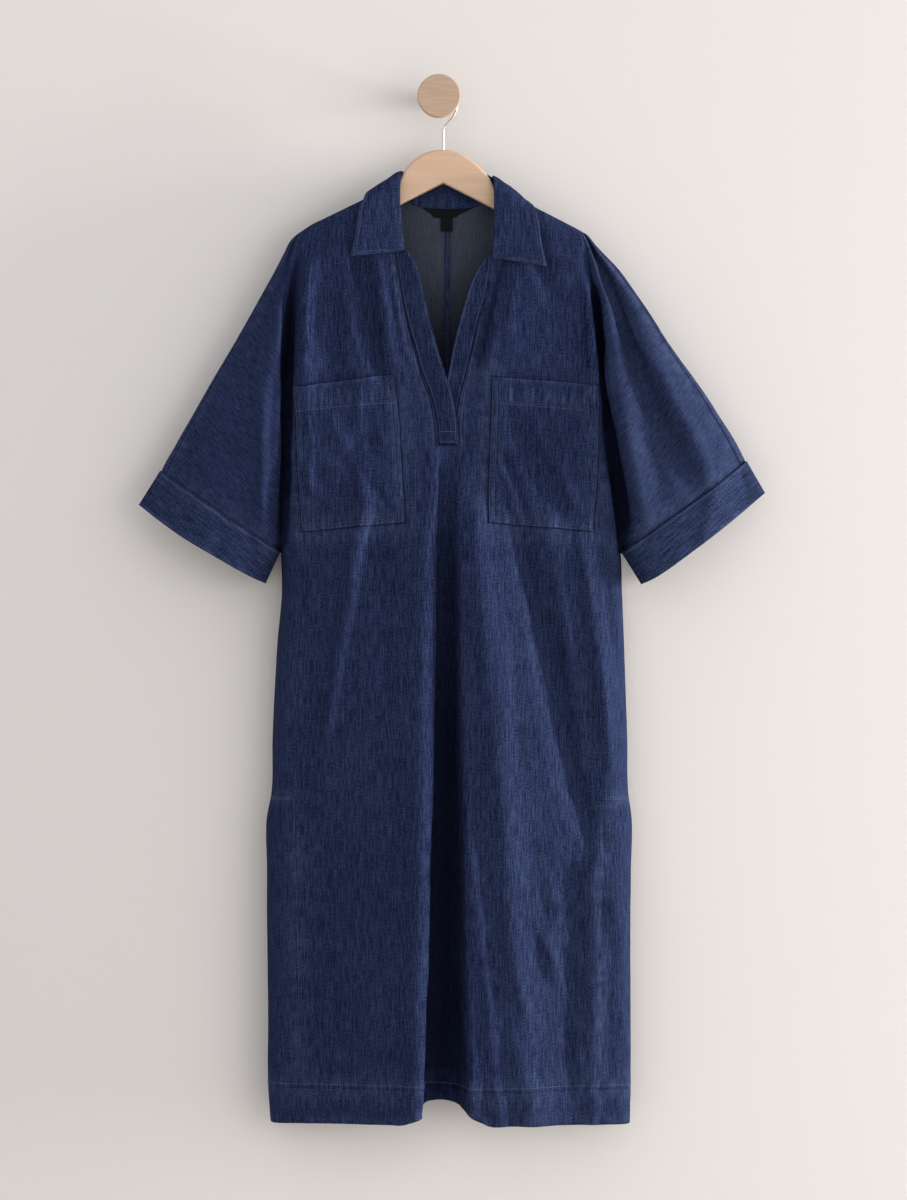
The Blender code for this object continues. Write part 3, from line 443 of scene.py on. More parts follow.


# Creases, given one by one: a ridge where high is positive, a trough where it is
# negative, from one end to the other, bent sideways by `bend`.
FRONT_CREASES: list[Crease] = creases_of(
    # the creases between the sleeves and the body
    (-204, -235, -211, -612, 6, -13.0, 0), (207, -250, 229, -432, 6, -12.0, 0),
    (225, -386, 250, -620, 6, -12.0, 0), (232, -292, 262, -614, 11, -6.0, 0),
    (194, -235, 218, -505, 7, 5.0, 0),
    # the left chest, from the collar down to the pocket
    (-127, -235, -124, -385, 11, 3.6, 0), (-83, -222, -64, -386, 8, 5.5, 0),
    (-55, -226, -36, -350, 5, -4.5, 0), (-178, -230, -182, -330, 6, 2.2, 4),
    (-160, -238, -168, -350, 5, -1.8, -3), (-120, -235, -104, -360, 7, 1.8, 5),
    (-98, -205, -70, -330, 5, -2.6, 3), (-86, -222, -58, -350, 4, 1.6, 2),
    (-66, -330, -38, -372, 4, -1.4, 0),
    # the left body under the pocket
    (-186, -600, -176, -700, 6, 1.8, -4), (-150, -596, -158, -668, 5, -1.6, 3),
    (-122, -600, -108, -720, 7, 2.0, 4), (-84, -590, -92, -760, 6, -1.8, -4),
    (-30, -500, -40, -640, 5, 1.6, 3), (-204, -690, -150, -730, 6, 1.6, 6),
    (-204, -742, -140, -786, 7, -1.8, 6), (-196, -830, -130, -862, 6, 1.4, 5),
    (-110, -820, -128, -905, 7, 1.8, 4), (-60, -760, -76, -870, 6, -1.6, 3),
    (-160, -1000, -172, -1085, 6, 1.6, -3), (-206, -1040, -186, -1130, 5, -1.5, 3),
    (-132, -1120, -120, -1230, 7, 1.6, 3), (-90, -1060, -82, -1190, 7, -1.8, -3),
    (-150, -1240, -160, -1325, 6, 1.6, 3), (-66, -1180, -72, -1330, 5, 1.5, 2),
    # the right chest, dragged from the shoulder towards the pocket
    (96, -258, 60, -372, 8, 4.0, 0), (74, -214, 58, -312, 5, -5.0, 0),
    (110, -168, 150, -262, 7, -2.2, 5), (92, -236, 74, -330, 5, -2.8, -3),
    (104, -244, 92, -362, 5, 1.8, 3), (150, -230, 176, -352, 6, 1.9, 6),
    (196, -240, 204, -350, 6, 2.0, -4), (56, -340, 44, -374, 4, -1.4, 0),
    # the right body: long diagonals from the pocket to the side
    (151, -596, 186, -800, 12, 5.0, 0), (224, -630, 246, -800, 6, -8.0, 0),
    (224, -1030, 250, -1190, 6, 4.0, 0), (236, -1150, 253, -1310, 5, 4.0, 0),
    (104, -1040, 204, -1290, 8, 3.6, 3), (140, -1040, 214, -1230, 7, 3.0, 5),
    (92, -1100, 168, -1310, 7, -2.4, 4), (184, -1236, 192, -1372, 5, 4.0, 0),
    (84, -700, 92, -900, 9, 3.0, 0), (150, -1080, 158, -1230, 10, 2.5, 3),
    (96, -1205, 136, -1345, 10, -4.0, 0), (226, -1010, 192, -1090, 5, 2.4, 4),
    (236, -1140, 196, -1216, 5, 2.2, 4), (146, -616, 156, -700, 7, -2.6, 4),
    (156, -700, 178, -850, 7, -2.8, 6), (172, -690, 196, -830, 8, 2.2, 6),
    (226, -650, 232, -810, 5, -2.6, 3), (112, -640, 124, -760, 7, 1.8, 4),
    (96, -800, 116, -920, 7, -1.6, 4), (176, -880, 236, -930, 6, 1.8, 8),
    (146, -905, 226, -962, 7, -2.0, 9), (206, -1000, 246, -1060, 5, 1.8, 5),
    (222, -980, 236, -1110, 4, -1.8, 4), (236, -1076, 214, -1166, 4, 1.5, -4),
    (120, -985, 186, -1040, 7, 1.5, 8), (88, -1040, 98, -1180, 7, 1.6, 3),
    (160, -1080, 206, -1166, 6, -1.7, 6), (196, -1170, 248, -1216, 6, 1.6, 6),
    (126, -1190, 136, -1320, 7, -1.6, 3), (230, -1230, 246, -1330, 5, 1.6, 3),
    (182, -1250, 196, -1330, 6, 1.4, 3),
    # the pockets
    (-177, -398, -171, -585, 9, 3.6, 0), (-106, -465, -94, -592, 10, 3.0, 3),
    (-112, -392, -106, -440, 8, 2.4, 0), (84, -480, 126, -585, 6, -4.0, 0),
    (152, -470, 188, -565, 8, 3.0, 0), (-186, -430, -150, -536, 9, -2.2, 8),
    (-150, -424, -92, -520, 9, 2.0, 8), (-120, -470, -66, -556, 7, -2.0, 6),
    (-180, -520, -120, -566, 6, 1.6, 5), (-86, -420, -70, -480, 5, 1.4, 3),
    (100, -430, 150, -540, 8, -3.0, 9), (120, -420, 176, -520, 8, 2.4, 8),
    (168, -432, 200, -520, 7, -2.0, 6), (86, -500, 130, -566, 6, 1.8, 5),
    (166, -530, 206, -572, 5, 1.5, 4),
    # the left sleeve
    (-237, -370, -239, -604, 8, 6.5, 0), (-226, -246, -262, -420, 8, 2.2, -8),
    (-214, -300, -236, -500, 7, -2.4, -6), (-250, -260, -318, -420, 9, -2.2, -9),
    (-240, -380, -288, -530, 8, 2.0, -7), (-300, -400, -340, -486, 8, 1.8, -5),
    (-232, -520, -222, -600, 5, -1.8, 3),
    # the right sleeve
    (221, -262, 274, -576, 13, 10.0, 0), (225, -340, 285, -612, 17, 10.5, 0),
    (238, -256, 388, -566, 13, 12.0, 0), (242, -300, 340, -545, 10, -4.0, 0),
    (216, -226, 266, -352, 6, -4.5, 2), (222, -235, 238, -350, 6, 3.5, 0),
    (222, -226, 250, -330, 8, -3.2, 7), (246, -330, 290, -440, 9, -3.0, 9),
    (254, -246, 318, -400, 9, 2.4, 10), (300, -330, 362, -450, 8, 1.6, 8),
    (246, -420, 262, -560, 8, 2.2, 6), (280, -430, 310, -540, 9, -1.8, 6),
    (336, -440, 360, -500, 7, 1.5, 4),
)
BACK_CREASES: list[Crease] = creases_of(
    (-170, -240, -150, -430, 9, 2.2, 6), (-110, -230, -118, -420, 8, -2.0, -5),
    (-60, -300, -70, -520, 8, 1.8, 4), (-196, -620, -120, -700, 8, -2.2, 8),
    (-190, -740, -100, -810, 8, 1.8, 8), (-150, -820, -160, -1000, 9, 1.8, 5),
    (-80, -760, -70, -980, 8, -1.8, 4), (-196, -1010, -150, -1100, 7, 1.6, 5),
    (-110, -1080, -120, -1290, 9, 1.8, 4), (-176, -1180, -166, -1320, 7, -1.6, 4),
    (-40, -1120, -46, -1330, 8, 1.5, 3), (-330, -400, -260, -520, 9, 2.0, 8),
    (-280, -330, -236, -500, 8, -2.0, 7), (190, -240, 170, -430, 9, 2.2, -6),
    (130, -230, 142, -430, 8, -2.0, 5), (80, -310, 92, -530, 8, 1.8, -4),
    (222, -630, 140, -716, 8, -2.2, -8), (214, -760, 130, -826, 8, 1.8, -8),
    (176, -840, 186, -1010, 9, 1.8, -5), (96, -780, 90, -990, 8, -1.8, -4),
    (226, -1020, 176, -1110, 7, 1.6, -5), (136, -1090, 144, -1290, 9, 1.8, -4),
    (202, -1190, 194, -1320, 7, -1.6, 4), (60, -1110, 66, -1330, 8, 1.5, 3),
    (356, -400, 286, -530, 9, 2.0, -8), (306, -330, 260, -500, 8, -2.0, -7),
)


class Cut(NamedTuple):
    """The flat cut of one piece, in metres and square metres."""

    name: str
    wide: float
    long: float
    area: Optional[float]
    rests_on: tuple[str, ...]


CUTS: list[Cut] = [
    Cut("front", 1.19, 1.30, 0.77, ("hanger",)),
    Cut("back_left", 0.60, 1.29, 0.33, ("hanger",)),
    Cut("back_right", 0.60, 1.29, 0.34, ("hanger",)),
    Cut("pocket_left", 0.145, 0.205, None, ("front",)),
    Cut("pocket_right", 0.148, 0.205, None, ("front",)),
    Cut("placket_over", 0.028, 0.28, None, ("front",)),
    Cut("placket_under", 0.028, 0.27, None, ("front",)),
    Cut("collar", 0.52, 0.085, None, ("front",)),
    Cut("cuff_left", 0.42, 0.05, None, ("front",)),
    Cut("cuff_right", 0.45, 0.05, None, ("front",)),
    Cut("neck_label", 0.072, 0.015, None, ("back_left",)),
    Cut("size_tab", 0.0156, 0.020, None, ("back_left",)),
]


# ------------------------------------------------------------------ small maths
def put(obj: bpy.types.Object) -> bpy.types.Object:
    """Links an object into the scene."""
    bpy.context.scene.collection.objects.link(obj)
    return obj


def mix(a: float, b: float, t: float) -> float:
    """The value a share t of the way from a to b."""
    return a + (b - a) * t


def ease(t: float) -> float:
    """A smooth step from 0 to 1."""
    t = min(1.0, max(0.0, t))
    return t * t * (3 - 2 * t)


def place(x: float, d: float, z: float) -> Vector:
    """A point in metres from its place across, off the wall and up, in millimetres."""
    return Vector((x * MM, -d * MM, z * MM))


def bell(off: float, wide: float) -> float:
    """A smooth bump: 1 where off is 0, nearly gone at twice its width."""
    return math.exp(-((off / wide) ** 2))


def rough(x: float, y: float, z: float) -> float:
    """Smooth noise at a place, from about -1 to 1."""
    return noise.noise(Vector((x, y, z)))


def along_level(level: float, first: int, last: int) -> list[Pair]:
    """A route along one level, from column to column."""
    return [(level, float(column)) for column in range(first, last + 1)]


def down_column(column: float, first: int, last: int) -> list[Pair]:
    """A route down one column, from level to level."""
    return [(float(level), column) for level in range(first, last + 1)]


def swell(start: float, middle: float, end: float, t: float) -> float:
    """A depth that eases from start to middle early on, then runs straight to end."""
    return mix(start, middle, ease(t * 3)) if t < 0.5 else mix(middle, end, t * 2 - 1)


def spaced(first: float, last: float, count: int) -> list[float]:
    """Even places from first to last, both counted."""
    return [mix(first, last, i / (count - 1)) for i in range(count)]


def table_at(values: Sequence[float], spot: float) -> float:
    """A table read between its entries.

    Args:
        values: The entries.
        spot: Where to read, counted in entries.

    Returns:
        The value.
    """
    spot = min(max(spot, 0.0), len(values) - 1.0)
    low = min(int(spot), len(values) - 2)
    return mix(values[low], values[low + 1], spot - low)


class Strand:
    """A smooth line through a few points, read by their count."""

    def __init__(self, points: Sequence[Vector]) -> None:
        """Works out the tangents.

        Args:
            points: At least two points, in order.
        """
        self.points = list(points)
        self.gaps = [max((b - a).length, 1e-6) for a, b in zip(points, points[1:])]
        slopes = [(b - a) / gap for a, b, gap in zip(points, points[1:], self.gaps)]
        self.tangents = [slopes[0]]
        for one, two, before, after in zip(slopes, slopes[1:], self.gaps, self.gaps[1:]):
            self.tangents.append((one * after + two * before) / (before + after))
        self.tangents.append(slopes[-1])

    def at(self, spot: float) -> Vector:
        """The point at a place on the line.

        Args:
            spot: Where to read, from 0 to the last point's number.

        Returns:
            The point.
        """
        spot = min(max(spot, 0.0), len(self.points) - 1.0)
        low = min(int(spot), len(self.points) - 2)
        t, gap = spot - low, self.gaps[low]
        t2, t3 = t * t, t * t * t
        return (
            self.points[low] * (2 * t3 - 3 * t2 + 1)
            + self.tangents[low] * (gap * (t3 - 2 * t2 + t))
            + self.points[low + 1] * (3 * t2 - 2 * t3)
            + self.tangents[low + 1] * (gap * (t3 - t2))
        )


def runs(items: Sequence[Optional[Vector]]) -> list[tuple[int, list[Vector]]]:
    """The stretches of a row that hold points.

    Args:
        items: The row; None where there is no point.

    Returns:
        Each stretch as its first number and its points.
    """
    found: list[tuple[int, list[Vector]]] = []
    for number, item in enumerate(items):
        if item is None:
            continue
        if found and found[-1][0] + len(found[-1][1]) == number:
            found[-1][1].append(item)
        else:
            found.append((number, [item]))
    return found


def read_run(strands: list[tuple[int, Strand]], spot: float) -> Optional[Vector]:
    """The point of whichever strand covers this place.

    Args:
        strands: Lines, each with its first number.
        spot: Where to read, counted in the row.

    Returns:
        The point, or None in a gap.
    """
    for first, strand in strands:
        if first - 1e-9 <= spot <= first + len(strand.points) - 1 + 1e-9:
            return strand.at(spot - first)
    return None


def strands_of(items: Sequence[Optional[Vector]]) -> list[tuple[int, Strand]]:
    """Smooth lines through each stretch of a row that holds points."""
    return [(first, Strand(points)) for first, points in runs(items) if len(points) > 1]


class Surface:
    """Fine places on one piece of cloth, with the levels and columns they lie at."""

    def __init__(self, points: Net, levels: Sequence[float], columns: Sequence[float]) -> None:
        """Takes the fine places.

        Args:
            points: The places, level by level; None where there is no cloth.
            levels: The level that each row lies at.
            columns: The column that each place of a row lies at.
        """
        self.points, self.levels, self.columns = points, list(levels), list(columns)

    @classmethod
    def of(cls, net: Net, levels: Sequence[float], columns: Sequence[float]) -> "Surface":
        """Reads a coarse net smoothly.

        Args:
            net: The coarse points, level by level; None where there is no cloth.
            levels: Where to read down the cloth, in levels of the net.
            columns: Where to read across it, in columns of the net.

        Returns:
            The fine surface.
        """
        down = [strands_of([row[c] for row in net]) for c in range(len(net[0]))]
        points: Net = []
        for level in levels:
            across = strands_of([read_run(strands, level) for strands in down])
            points.append([read_run(across, column) for column in columns])
        return cls(points, levels, columns)

    def at(self, level: float, column: float) -> Optional[tuple[Vector, Vector]]:
        """A place between the fine ones, and the direction across its cell.

        Args:
            level: The level.
            column: The column.

        Returns:
            The point and its unsigned normal, or None where there is no cloth.
        """
        i = min(max(bisect_right(self.levels, level) - 1, 0), len(self.levels) - 2)
        j = min(max(bisect_right(self.columns, column) - 1, 0), len(self.columns) - 2)
        a, b = self.points[i][j], self.points[i][j + 1]
        c, d = self.points[i + 1][j], self.points[i + 1][j + 1]
        if a is None or b is None or c is None or d is None:
            return None
        s = (level - self.levels[i]) / (self.levels[i + 1] - self.levels[i])
        t = (column - self.columns[j]) / (self.columns[j + 1] - self.columns[j])
        normal = (b - c).cross(d - a)
        return a.lerp(b, t).lerp(c.lerp(d, t), s), normal.normalized()

    def move(self, how: Moved) -> "Surface":
        """Moves each point.

        Args:
            how: Gives the new point from its level, column and old point.

        Returns:
            This surface.
        """
        for level, row in zip(self.levels, self.points):
            for index, point in enumerate(row):
                if point is not None:
                    row[index] = how(level, self.columns[index], point)
        return self

    def normals(self, facing: Facing) -> Net:
        """The direction that each point faces.

        Args:
            facing: The side that is out.

        Returns:
            A unit vector for each point.
        """
        found: Net = []
        rows, columns = len(self.points), len(self.columns)
        for i in range(rows):
            line: Row = []
            for j in range(columns):
                here = self.points[i][j]
                if here is None:
                    line.append(None)
                    continue
                up = self.points[i - 1][j] if i else None
                down = self.points[i + 1][j] if i + 1 < rows else None
                left = self.points[i][j - 1] if j else None
                right = self.points[i][j + 1] if j + 1 < columns else None
                tall = (up or here) - (down or here)
                wide = (right or here) - (left or here)
                normal = wide.cross(tall)
                if normal.length < 1e-12:
                    normal = Vector((0, facing.value, 0))
                line.append(normal.normalized())
            found.append(line)
        # Columns run to the viewer's right, so the cross product faces the room.
        total = sum((n for row in found for n in row if n is not None), Vector())
        if total.y * facing.value < 0:
            found = [[None if n is None else -n for n in row] for row in found]
        return found

    def raised(self, facing: Facing, how: Value) -> "Surface":
        """Lifts each point along its normal.

        Args:
            facing: The side that is out.
            how: Gives the lift in millimetres from level, column and point.

        Returns:
            This surface.
        """
        normals = self.normals(facing)
        for i, row in enumerate(self.points):
            for j, point in enumerate(row):
                if point is not None:
                    row[j] = point + normals[i][j] * (how(self.levels[i], self.columns[j], point) * MM)
        return self


# ------------------------------------------------------------------ the creases
def crease_lift(creases: Iterable[Crease], x: float, z: float) -> float:
    """How far hand-placed creases lift the cloth at one place.

    Args:
        creases: The creases of this piece.
        x: Across, in millimetres.
        z: Up, in millimetres.

    Returns:
        The lift in millimetres.
    """
    lift = 0.0
    for c in creases:
        along_x, along_z = c.x1 - c.x0, c.z1 - c.z0
        length = math.hypot(along_x, along_z)
        t = ((x - c.x0) * along_x + (z - c.z0) * along_z) / (length * length)
        if not 0.0 < t < 1.0:
            continue
        off = ((x - c.x0) * along_z - (z - c.z0) * along_x) / length
        off -= c.bend * 4 * t * (1 - t)
        if abs(off) > 4 * c.wide:
            continue
        shape = bell(off, c.wide)
        shape -= 0.45 * bell(off - 1.7 * c.wide, c.wide)
        lift += c.high * shape * math.sin(math.pi * t) ** 0.8
    return lift


def fold_lift(folds: Iterable[Fold], x: float, z: float) -> float:
    """How far the large folds lift the cloth at one place.

    Args:
        folds: The folds of this piece.
        x: Across, in millimetres.
        z: Up, in millimetres.

    Returns:
        The lift in millimetres.
    """
    lift = 0.0
    for fold in folds:
        t = (fold.head_z - z) / (fold.head_z - fold.foot_z)
        if not -0.2 < t < 1.2:
            continue
        middle = mix(fold.head_x, fold.foot_x, t)
        from_head = ease((fold.head_z - z) / fold.fade + 0.5)
        runs_out = fold.foot_z < -1360
        from_foot = 1.0 if runs_out else ease((z - fold.foot_z) / fold.fade + 0.5)
        near = bell(x - middle, fold.half_wide)
        lift += fold.high * from_head * from_foot * near
    return lift


def rumple(x: float, z: float, seed: float) -> float:
    """The slight unevenness of washed cotton.

    Args:
        x: Across, in millimetres.
        z: Up, in millimetres.
        seed: Which of many patterns.

    Returns:
        The lift in millimetres, longer down the warp.
    """
    broad = rough(x * 0.020, z * 0.0075, seed)
    small = rough(x * 0.060, z * 0.024, seed + 7)
    fine = rough(x * 0.14, z * 0.07, seed + 13)
    return 1.35 * broad + 0.75 * small + 0.32 * fine


class SeamLine(NamedTuple):
    """A line of stitching or a seam on a piece, in millimetres."""

    name: str
    route: tuple[Pair, ...]
    pucker: float
    reach: float
    ditch: float
    # How dark the ditch is painted: partly the unworn dye of real denim, partly painted shade.
    dark: float


def line_distance(route: Sequence[Pair], x: float, z: float) -> Pair:
    """How far a place is from a route, and how far along it lies.

    Args:
        route: The corners of the line, as (x, z).
        x: Across, in millimetres.
        z: Up, in millimetres.

    Returns:
        The distance and the length along the route, in millimetres.
    """
    best, where, before = 1e9, 0.0, 0.0
    for (ax, az), (bx, bz) in zip(route, route[1:]):
        dx, dz = bx - ax, bz - az
        length = math.hypot(dx, dz)
        t = min(1.0, max(0.0, ((x - ax) * dx + (z - az) * dz) / (length * length)))
        far = math.hypot(x - ax - t * dx, z - az - t * dz)
        if far < best:
            best, where = far, before + t * length
        before += length
    return best, where


def seam_lift(lines: Iterable[SeamLine], x: float, z: float) -> float:
    """The ditch of each stitch line and the puckers beside it.

    Args:
        lines: The sewn lines of this piece.
        x: Across, in millimetres.
        z: Up, in millimetres.

    Returns:
        The lift in millimetres.
    """
    lift = 0.0
    for number, line in enumerate(lines):
        far, along = line_distance(line.route, x, z)
        if far > line.reach:
            continue
        close = 1 - far / line.reach
        wave = rough(along * 0.115, far * 0.03, number * 3.7)
        wave += 0.5 * rough(along * 0.27, far * 0.05, number * 9.1)
        lift += line.pucker * wave * close * close
        lift -= line.ditch * bell(far, SEAM_WIDE)
    return lift


def seam_fade(lines: Iterable[SeamLine], x: float, z: float) -> float:
    """How worn the cloth is beside and in its seams, and how dark its ditches are painted, partly as unworn
    dye and partly as painted shade.

    Args:
        lines: The sewn lines of this piece.
        x: Across, in millimetres.
        z: Up, in millimetres.

    Returns:
        From -1 for unworn dye and painted shade, down in a seam, to 1 for the palest wear.
    """
    fade, dark = 0.0, 0.0
    for number, line in enumerate(lines):
        far, along = line_distance(line.route, x, z)
        if far > line.reach:
            continue
        spots = 0.5 + 0.9 * rough(along * 0.12, far * 0.06, number * 3.7)
        fade = max(fade, max(0.0, spots) * (1 - far / line.reach))
        # The ditch darkens: partly unworn dye, partly painted shade.
        dark = max(dark, line.dark * bell(far, SEAM_WIDE))
    return min(1.0, fade) * (1 - dark) - dark


# ------------------------------------------------------------- making the meshes
class Tailor:
    """Turns surfaces into finished pieces."""

    def __init__(self, wardrobe: "Wardrobe") -> None:
        """Keeps the finishes.

        Args:
            wardrobe: The maker of materials.
        """
        self.wardrobe = wardrobe
        self.trees: dict[str, BVHTree] = {}

    def sheet_mesh(
        self,
        surface: Surface,
        facing: Facing,
        uv: Callable[[int, float, Vector], Pair],
        fade: Value,
        side_of: Optional[Callable[[float], int]] = None,
    ) -> bmesh.types.BMesh:
        """Makes a piece's single layer.

        Args:
            surface: Its fine places.
            facing: The side that is out.
            uv: Gives the cloth's own place, in metres, from a patch, column and point.
            fade: Gives the wear, the painted light and the painted shade at a level, column and point.
            side_of: Gives the number of the patch that a column's faces belong to.

        Returns:
            The mesh, with its UV map and its wear, painted light and painted shade.
        """
        rows, columns = len(surface.levels), len(surface.columns)
        bm = bmesh.new()
        bmesh.ops.create_grid(bm, x_segments=columns - 1, y_segments=rows - 1, size=1.0)
        # The fade layer holds wear together with painted light and painted shade.
        worn = bm.verts.layers.float.new("fade")
        spots: dict[bmesh.types.BMVert, tuple[int, int]] = {}
        lost = []
        for vert in bm.verts:
            j = round((vert.co.x + 1) / 2 * (columns - 1))
            i = round((1 - vert.co.y) / 2 * (rows - 1))
            point = surface.points[i][j]
            if point is None:
                lost.append(vert)
            else:
                vert.co = point
                vert[worn] = fade(surface.levels[i], surface.columns[j], point)
                spots[vert] = (i, j)
        bmesh.ops.delete(bm, geom=lost, context="VERTS")
        layer = bm.loops.layers.uv.new("cloth")
        for face in bm.faces:
            face.smooth = True
            patch = 0
            if side_of is not None:
                middle = sum(surface.columns[spots[v][1]] for v in face.verts) / len(face.verts)
                patch = side_of(middle)
            for loop in face.loops:
                loop[layer].uv = uv(patch, surface.columns[spots[loop.vert][1]], loop.vert.co)
        bm.normal_update()
        total = sum((face.normal * face.calc_area() for face in bm.faces), Vector())
        if total.y * facing.value < 0:
            bmesh.ops.reverse_faces(bm, faces=bm.faces[:])
        return bm

    def made(self, name: str, bm: bmesh.types.BMesh, look: Look) -> bpy.types.Object:
        """Puts a mesh in the scene as an object.

        Args:
            name: The object's name.
            bm: Its mesh, which is used up.
            look: Its finish.

        Returns:
            The object.
        """
        mesh = bpy.data.meshes.new(name)
        bm.to_mesh(mesh)
        bm.free()
        mesh.materials.append(self.wardrobe.get(look))
        return put(bpy.data.objects.new(name, mesh))

    def finish(
        self,
        name: str,
        bm: bmesh.types.BMesh,
        look: Look,
        slot: str,
        replaces: Sequence[str] = (),
        wall: float = 0.0,
        inside: Optional[Look] = None,
    ) -> bpy.types.Object:
        """Makes the object, dresses it and puts it on its body.

        Args:
            name: The piece's name.
            bm: Its mesh, which is used up.
            look: Its finish.
            slot: The material slot it takes its finish from.
            replaces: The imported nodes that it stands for.
            wall: The thickness to give a single layer, in millimetres.
            inside: The finish of the layer's other side.

        Returns:
            The object.
        """
        obj = self.made(name, bm, look)
        mesh = obj.data
        if wall:
            solid = obj.modifiers.new("wall", "SOLIDIFY")
            solid.thickness = wall * MM
            solid.offset = 0.0
            solid.use_even_offset = False
            solid.use_quality_normals = True
            if inside is not None:
                mesh.materials.append(self.wardrobe.get(inside))
                solid.material_offset = 1
                solid.material_offset_rim = 0
        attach(obj, "root")
        if replaces:
            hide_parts(*replaces)
        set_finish(obj, slot)
        LOG.info("%s: %d faces", name, len(mesh.polygons))
        return obj

    def tube(
        self,
        name: str,
        route: Sequence[Vector],
        radius: float,
        look: Look,
        slot: str,
        sides: int,
    ) -> bpy.types.Object:
        """Makes a round wire along a route.

        Args:
            name: The piece's name.
            route: Its middle line.
            radius: Its radius, in millimetres.
            look: Its finish.
            slot: Its material slot.
            sides: The bevel's resolution.

        Returns:
            The object.
        """
        curve = bpy.data.curves.new(name + "_line", "CURVE")
        curve.dimensions = "3D"
        curve.bevel_depth = radius * MM
        curve.bevel_resolution = sides
        curve.use_fill_caps = True
        spline = curve.splines.new("POLY")
        spline.points.add(len(route) - 1)
        for knot, point in zip(spline.points, route):
            knot.co = (*point, 1.0)
        holder = put(bpy.data.objects.new(name + "_line", curve))
        graph = bpy.context.evaluated_depsgraph_get()
        made = holder.evaluated_get(graph)
        bm = bmesh.new()
        bm.from_mesh(made.to_mesh())
        made.to_mesh_clear()
        bpy.data.objects.remove(holder, do_unlink=True)
        bmesh.ops.remove_doubles(bm, verts=bm.verts[:], dist=1e-7)
        for face in bm.faces:
            face.smooth = True
        return self.finish(name, bm, look, slot)


@dataclass
class Needle:
    """Sews visible stitches onto finished surfaces, as one joined mesh a piece."""

    long: float = 2.5
    pitch: float = 3.3
    thick: float = 0.68
    proud: float = 0.12
    jump: float = 12.0

    def along(
        self, surface: Surface, route: Sequence[Pair], facing: Facing, wall: float, tubular: bool
    ) -> list[Matrix]:
        """Where each stitch of a line lies.

        Args:
            surface: The cloth that the line is sewn on.
            route: The line's corners, as levels and columns.
            facing: The side that is sewn.
            wall: The cloth's thickness, in millimetres.
            tubular: Whether the cloth is a tube, whose outside faces away from its middle.

        Returns:
            A matrix for each stitch.
        """
        spots: list[tuple[Vector, Vector]] = []
        for (one, left), (two, right) in zip(route, route[1:]):
            steps = max(6, int(12 * (abs(two - one) + abs(right - left))))
            for step in range(steps):
                t = step / steps
                found = surface.at(mix(one, two, t), mix(left, right, t))
                if found is not None:
                    spots.append(found)
        if len(spots) < 2:
            return []
        middle = sum((p for row in surface.points for p in row if p is not None), Vector())
        middle /= max(1, sum(p is not None for row in surface.points for p in row))
        made: list[Matrix] = []
        walked, due = 0.0, self.pitch * MM / 2
        for (here, normal), (ahead, _) in zip(spots, spots[1:]):
            length = (ahead - here).length
            if length > self.jump * MM:
                walked, due = 0.0, self.pitch * MM / 2
                continue
            while walked + length >= due and length > 0:
                point = here.lerp(ahead, (due - walked) / length)
                out = point.y - middle.y if tubular else facing.value
                if normal.y * out < 0:
                    normal = -normal
                course = ahead - here
                course = (course - normal * course.dot(normal)).normalized()
                turn = Matrix((course, normal.cross(course), normal)).transposed().to_4x4()
                up = (wall / 2 + self.proud) * MM
                made.append(Matrix.Translation(point + normal * up) @ turn)
                due += self.pitch * MM
            walked += length
        return made

    def sew(self, spots: Sequence[Matrix]) -> bmesh.types.BMesh:
        """Joins one small rounded bar for each spot.

        Args:
            spots: Where the stitches lie.

        Returns:
            The joined mesh.
        """
        bar = bmesh.new()
        bmesh.ops.create_icosphere(bar, subdivisions=1, radius=1.0)
        shape = Matrix.Diagonal((self.long / 2 * MM, self.thick / 2 * MM, self.thick / 2.6 * MM, 1.0))
        corners = [shape @ vert.co for vert in bar.verts]
        faces = [[vert.index for vert in face.verts] for face in bar.faces]
        bar.free()
        points: list[Vector] = []
        joined: list[list[int]] = []
        for spot in spots:
            base = len(points)
            points += [spot @ corner for corner in corners]
            joined += [[base + i for i in face] for face in faces]
        mesh = bpy.data.meshes.new("stitches")
        mesh.from_pydata(points, [], joined)
        bm = bmesh.new()
        bm.from_mesh(mesh)
        bpy.data.meshes.remove(mesh)
        for face in bm.faces:
            face.smooth = True
        return bm


# ---------------------------------------------------------------- the finishes
Colour = tuple[float, float, float]
CLOTH_SHINE = 0.06


@dataclass(frozen=True)
class DenimFinish:
    """Indigo cotton: a fine twill whose slub yarns show as pale streaks."""

    deep: Colour = (0.0055, 0.0086, 0.0318)
    pale: Colour = (0.0565, 0.0830, 0.1950)
    # This pale colour is real wear, and it is also painted light on the right sleeve, the right body, the
    # right of the collar and the right cuff.
    worn: Colour = (0.0860, 0.1200, 0.2200)
    # This near-black is painted shade in the pleat, the creases by the armholes, the lower left skirt and the
    # top placket strip, and in dark lines at seams, pocket rims and cuff seams; in the seam ditches it is
    # partly the unworn dye of real denim.
    painted_shade_and_unworn_dye: Colour = (0.0028, 0.0040, 0.0140)
    rough: float = 0.90
    weave_mm: float = 0.95


@dataclass(frozen=True)
class ReverseFinish:
    """The wrong side of the denim, paler and greyer with its white weft, with painted shade that darkens it
    lower down.
    """

    body: Colour = (0.0300, 0.0370, 0.0560)
    pale: Colour = (0.0820, 0.0950, 0.1250)
    # This colour and these heights, in metres, are painted shade: the wrong side darkens towards it from the
    # first height down to the second.
    painted_shade: Colour = (0.0110, 0.0135, 0.0210)
    painted_shade_from: float = -0.235
    painted_shade_full: float = -0.330
    rough: float = 0.92
    weave_mm: float = 0.95


@dataclass(frozen=True)
class WoodFinish:
    """Close-grained wood under a thin lacquer."""

    light: Colour
    dark: Colour
    rough: float
    coat: float
    grain_across: float
    grain_along: float


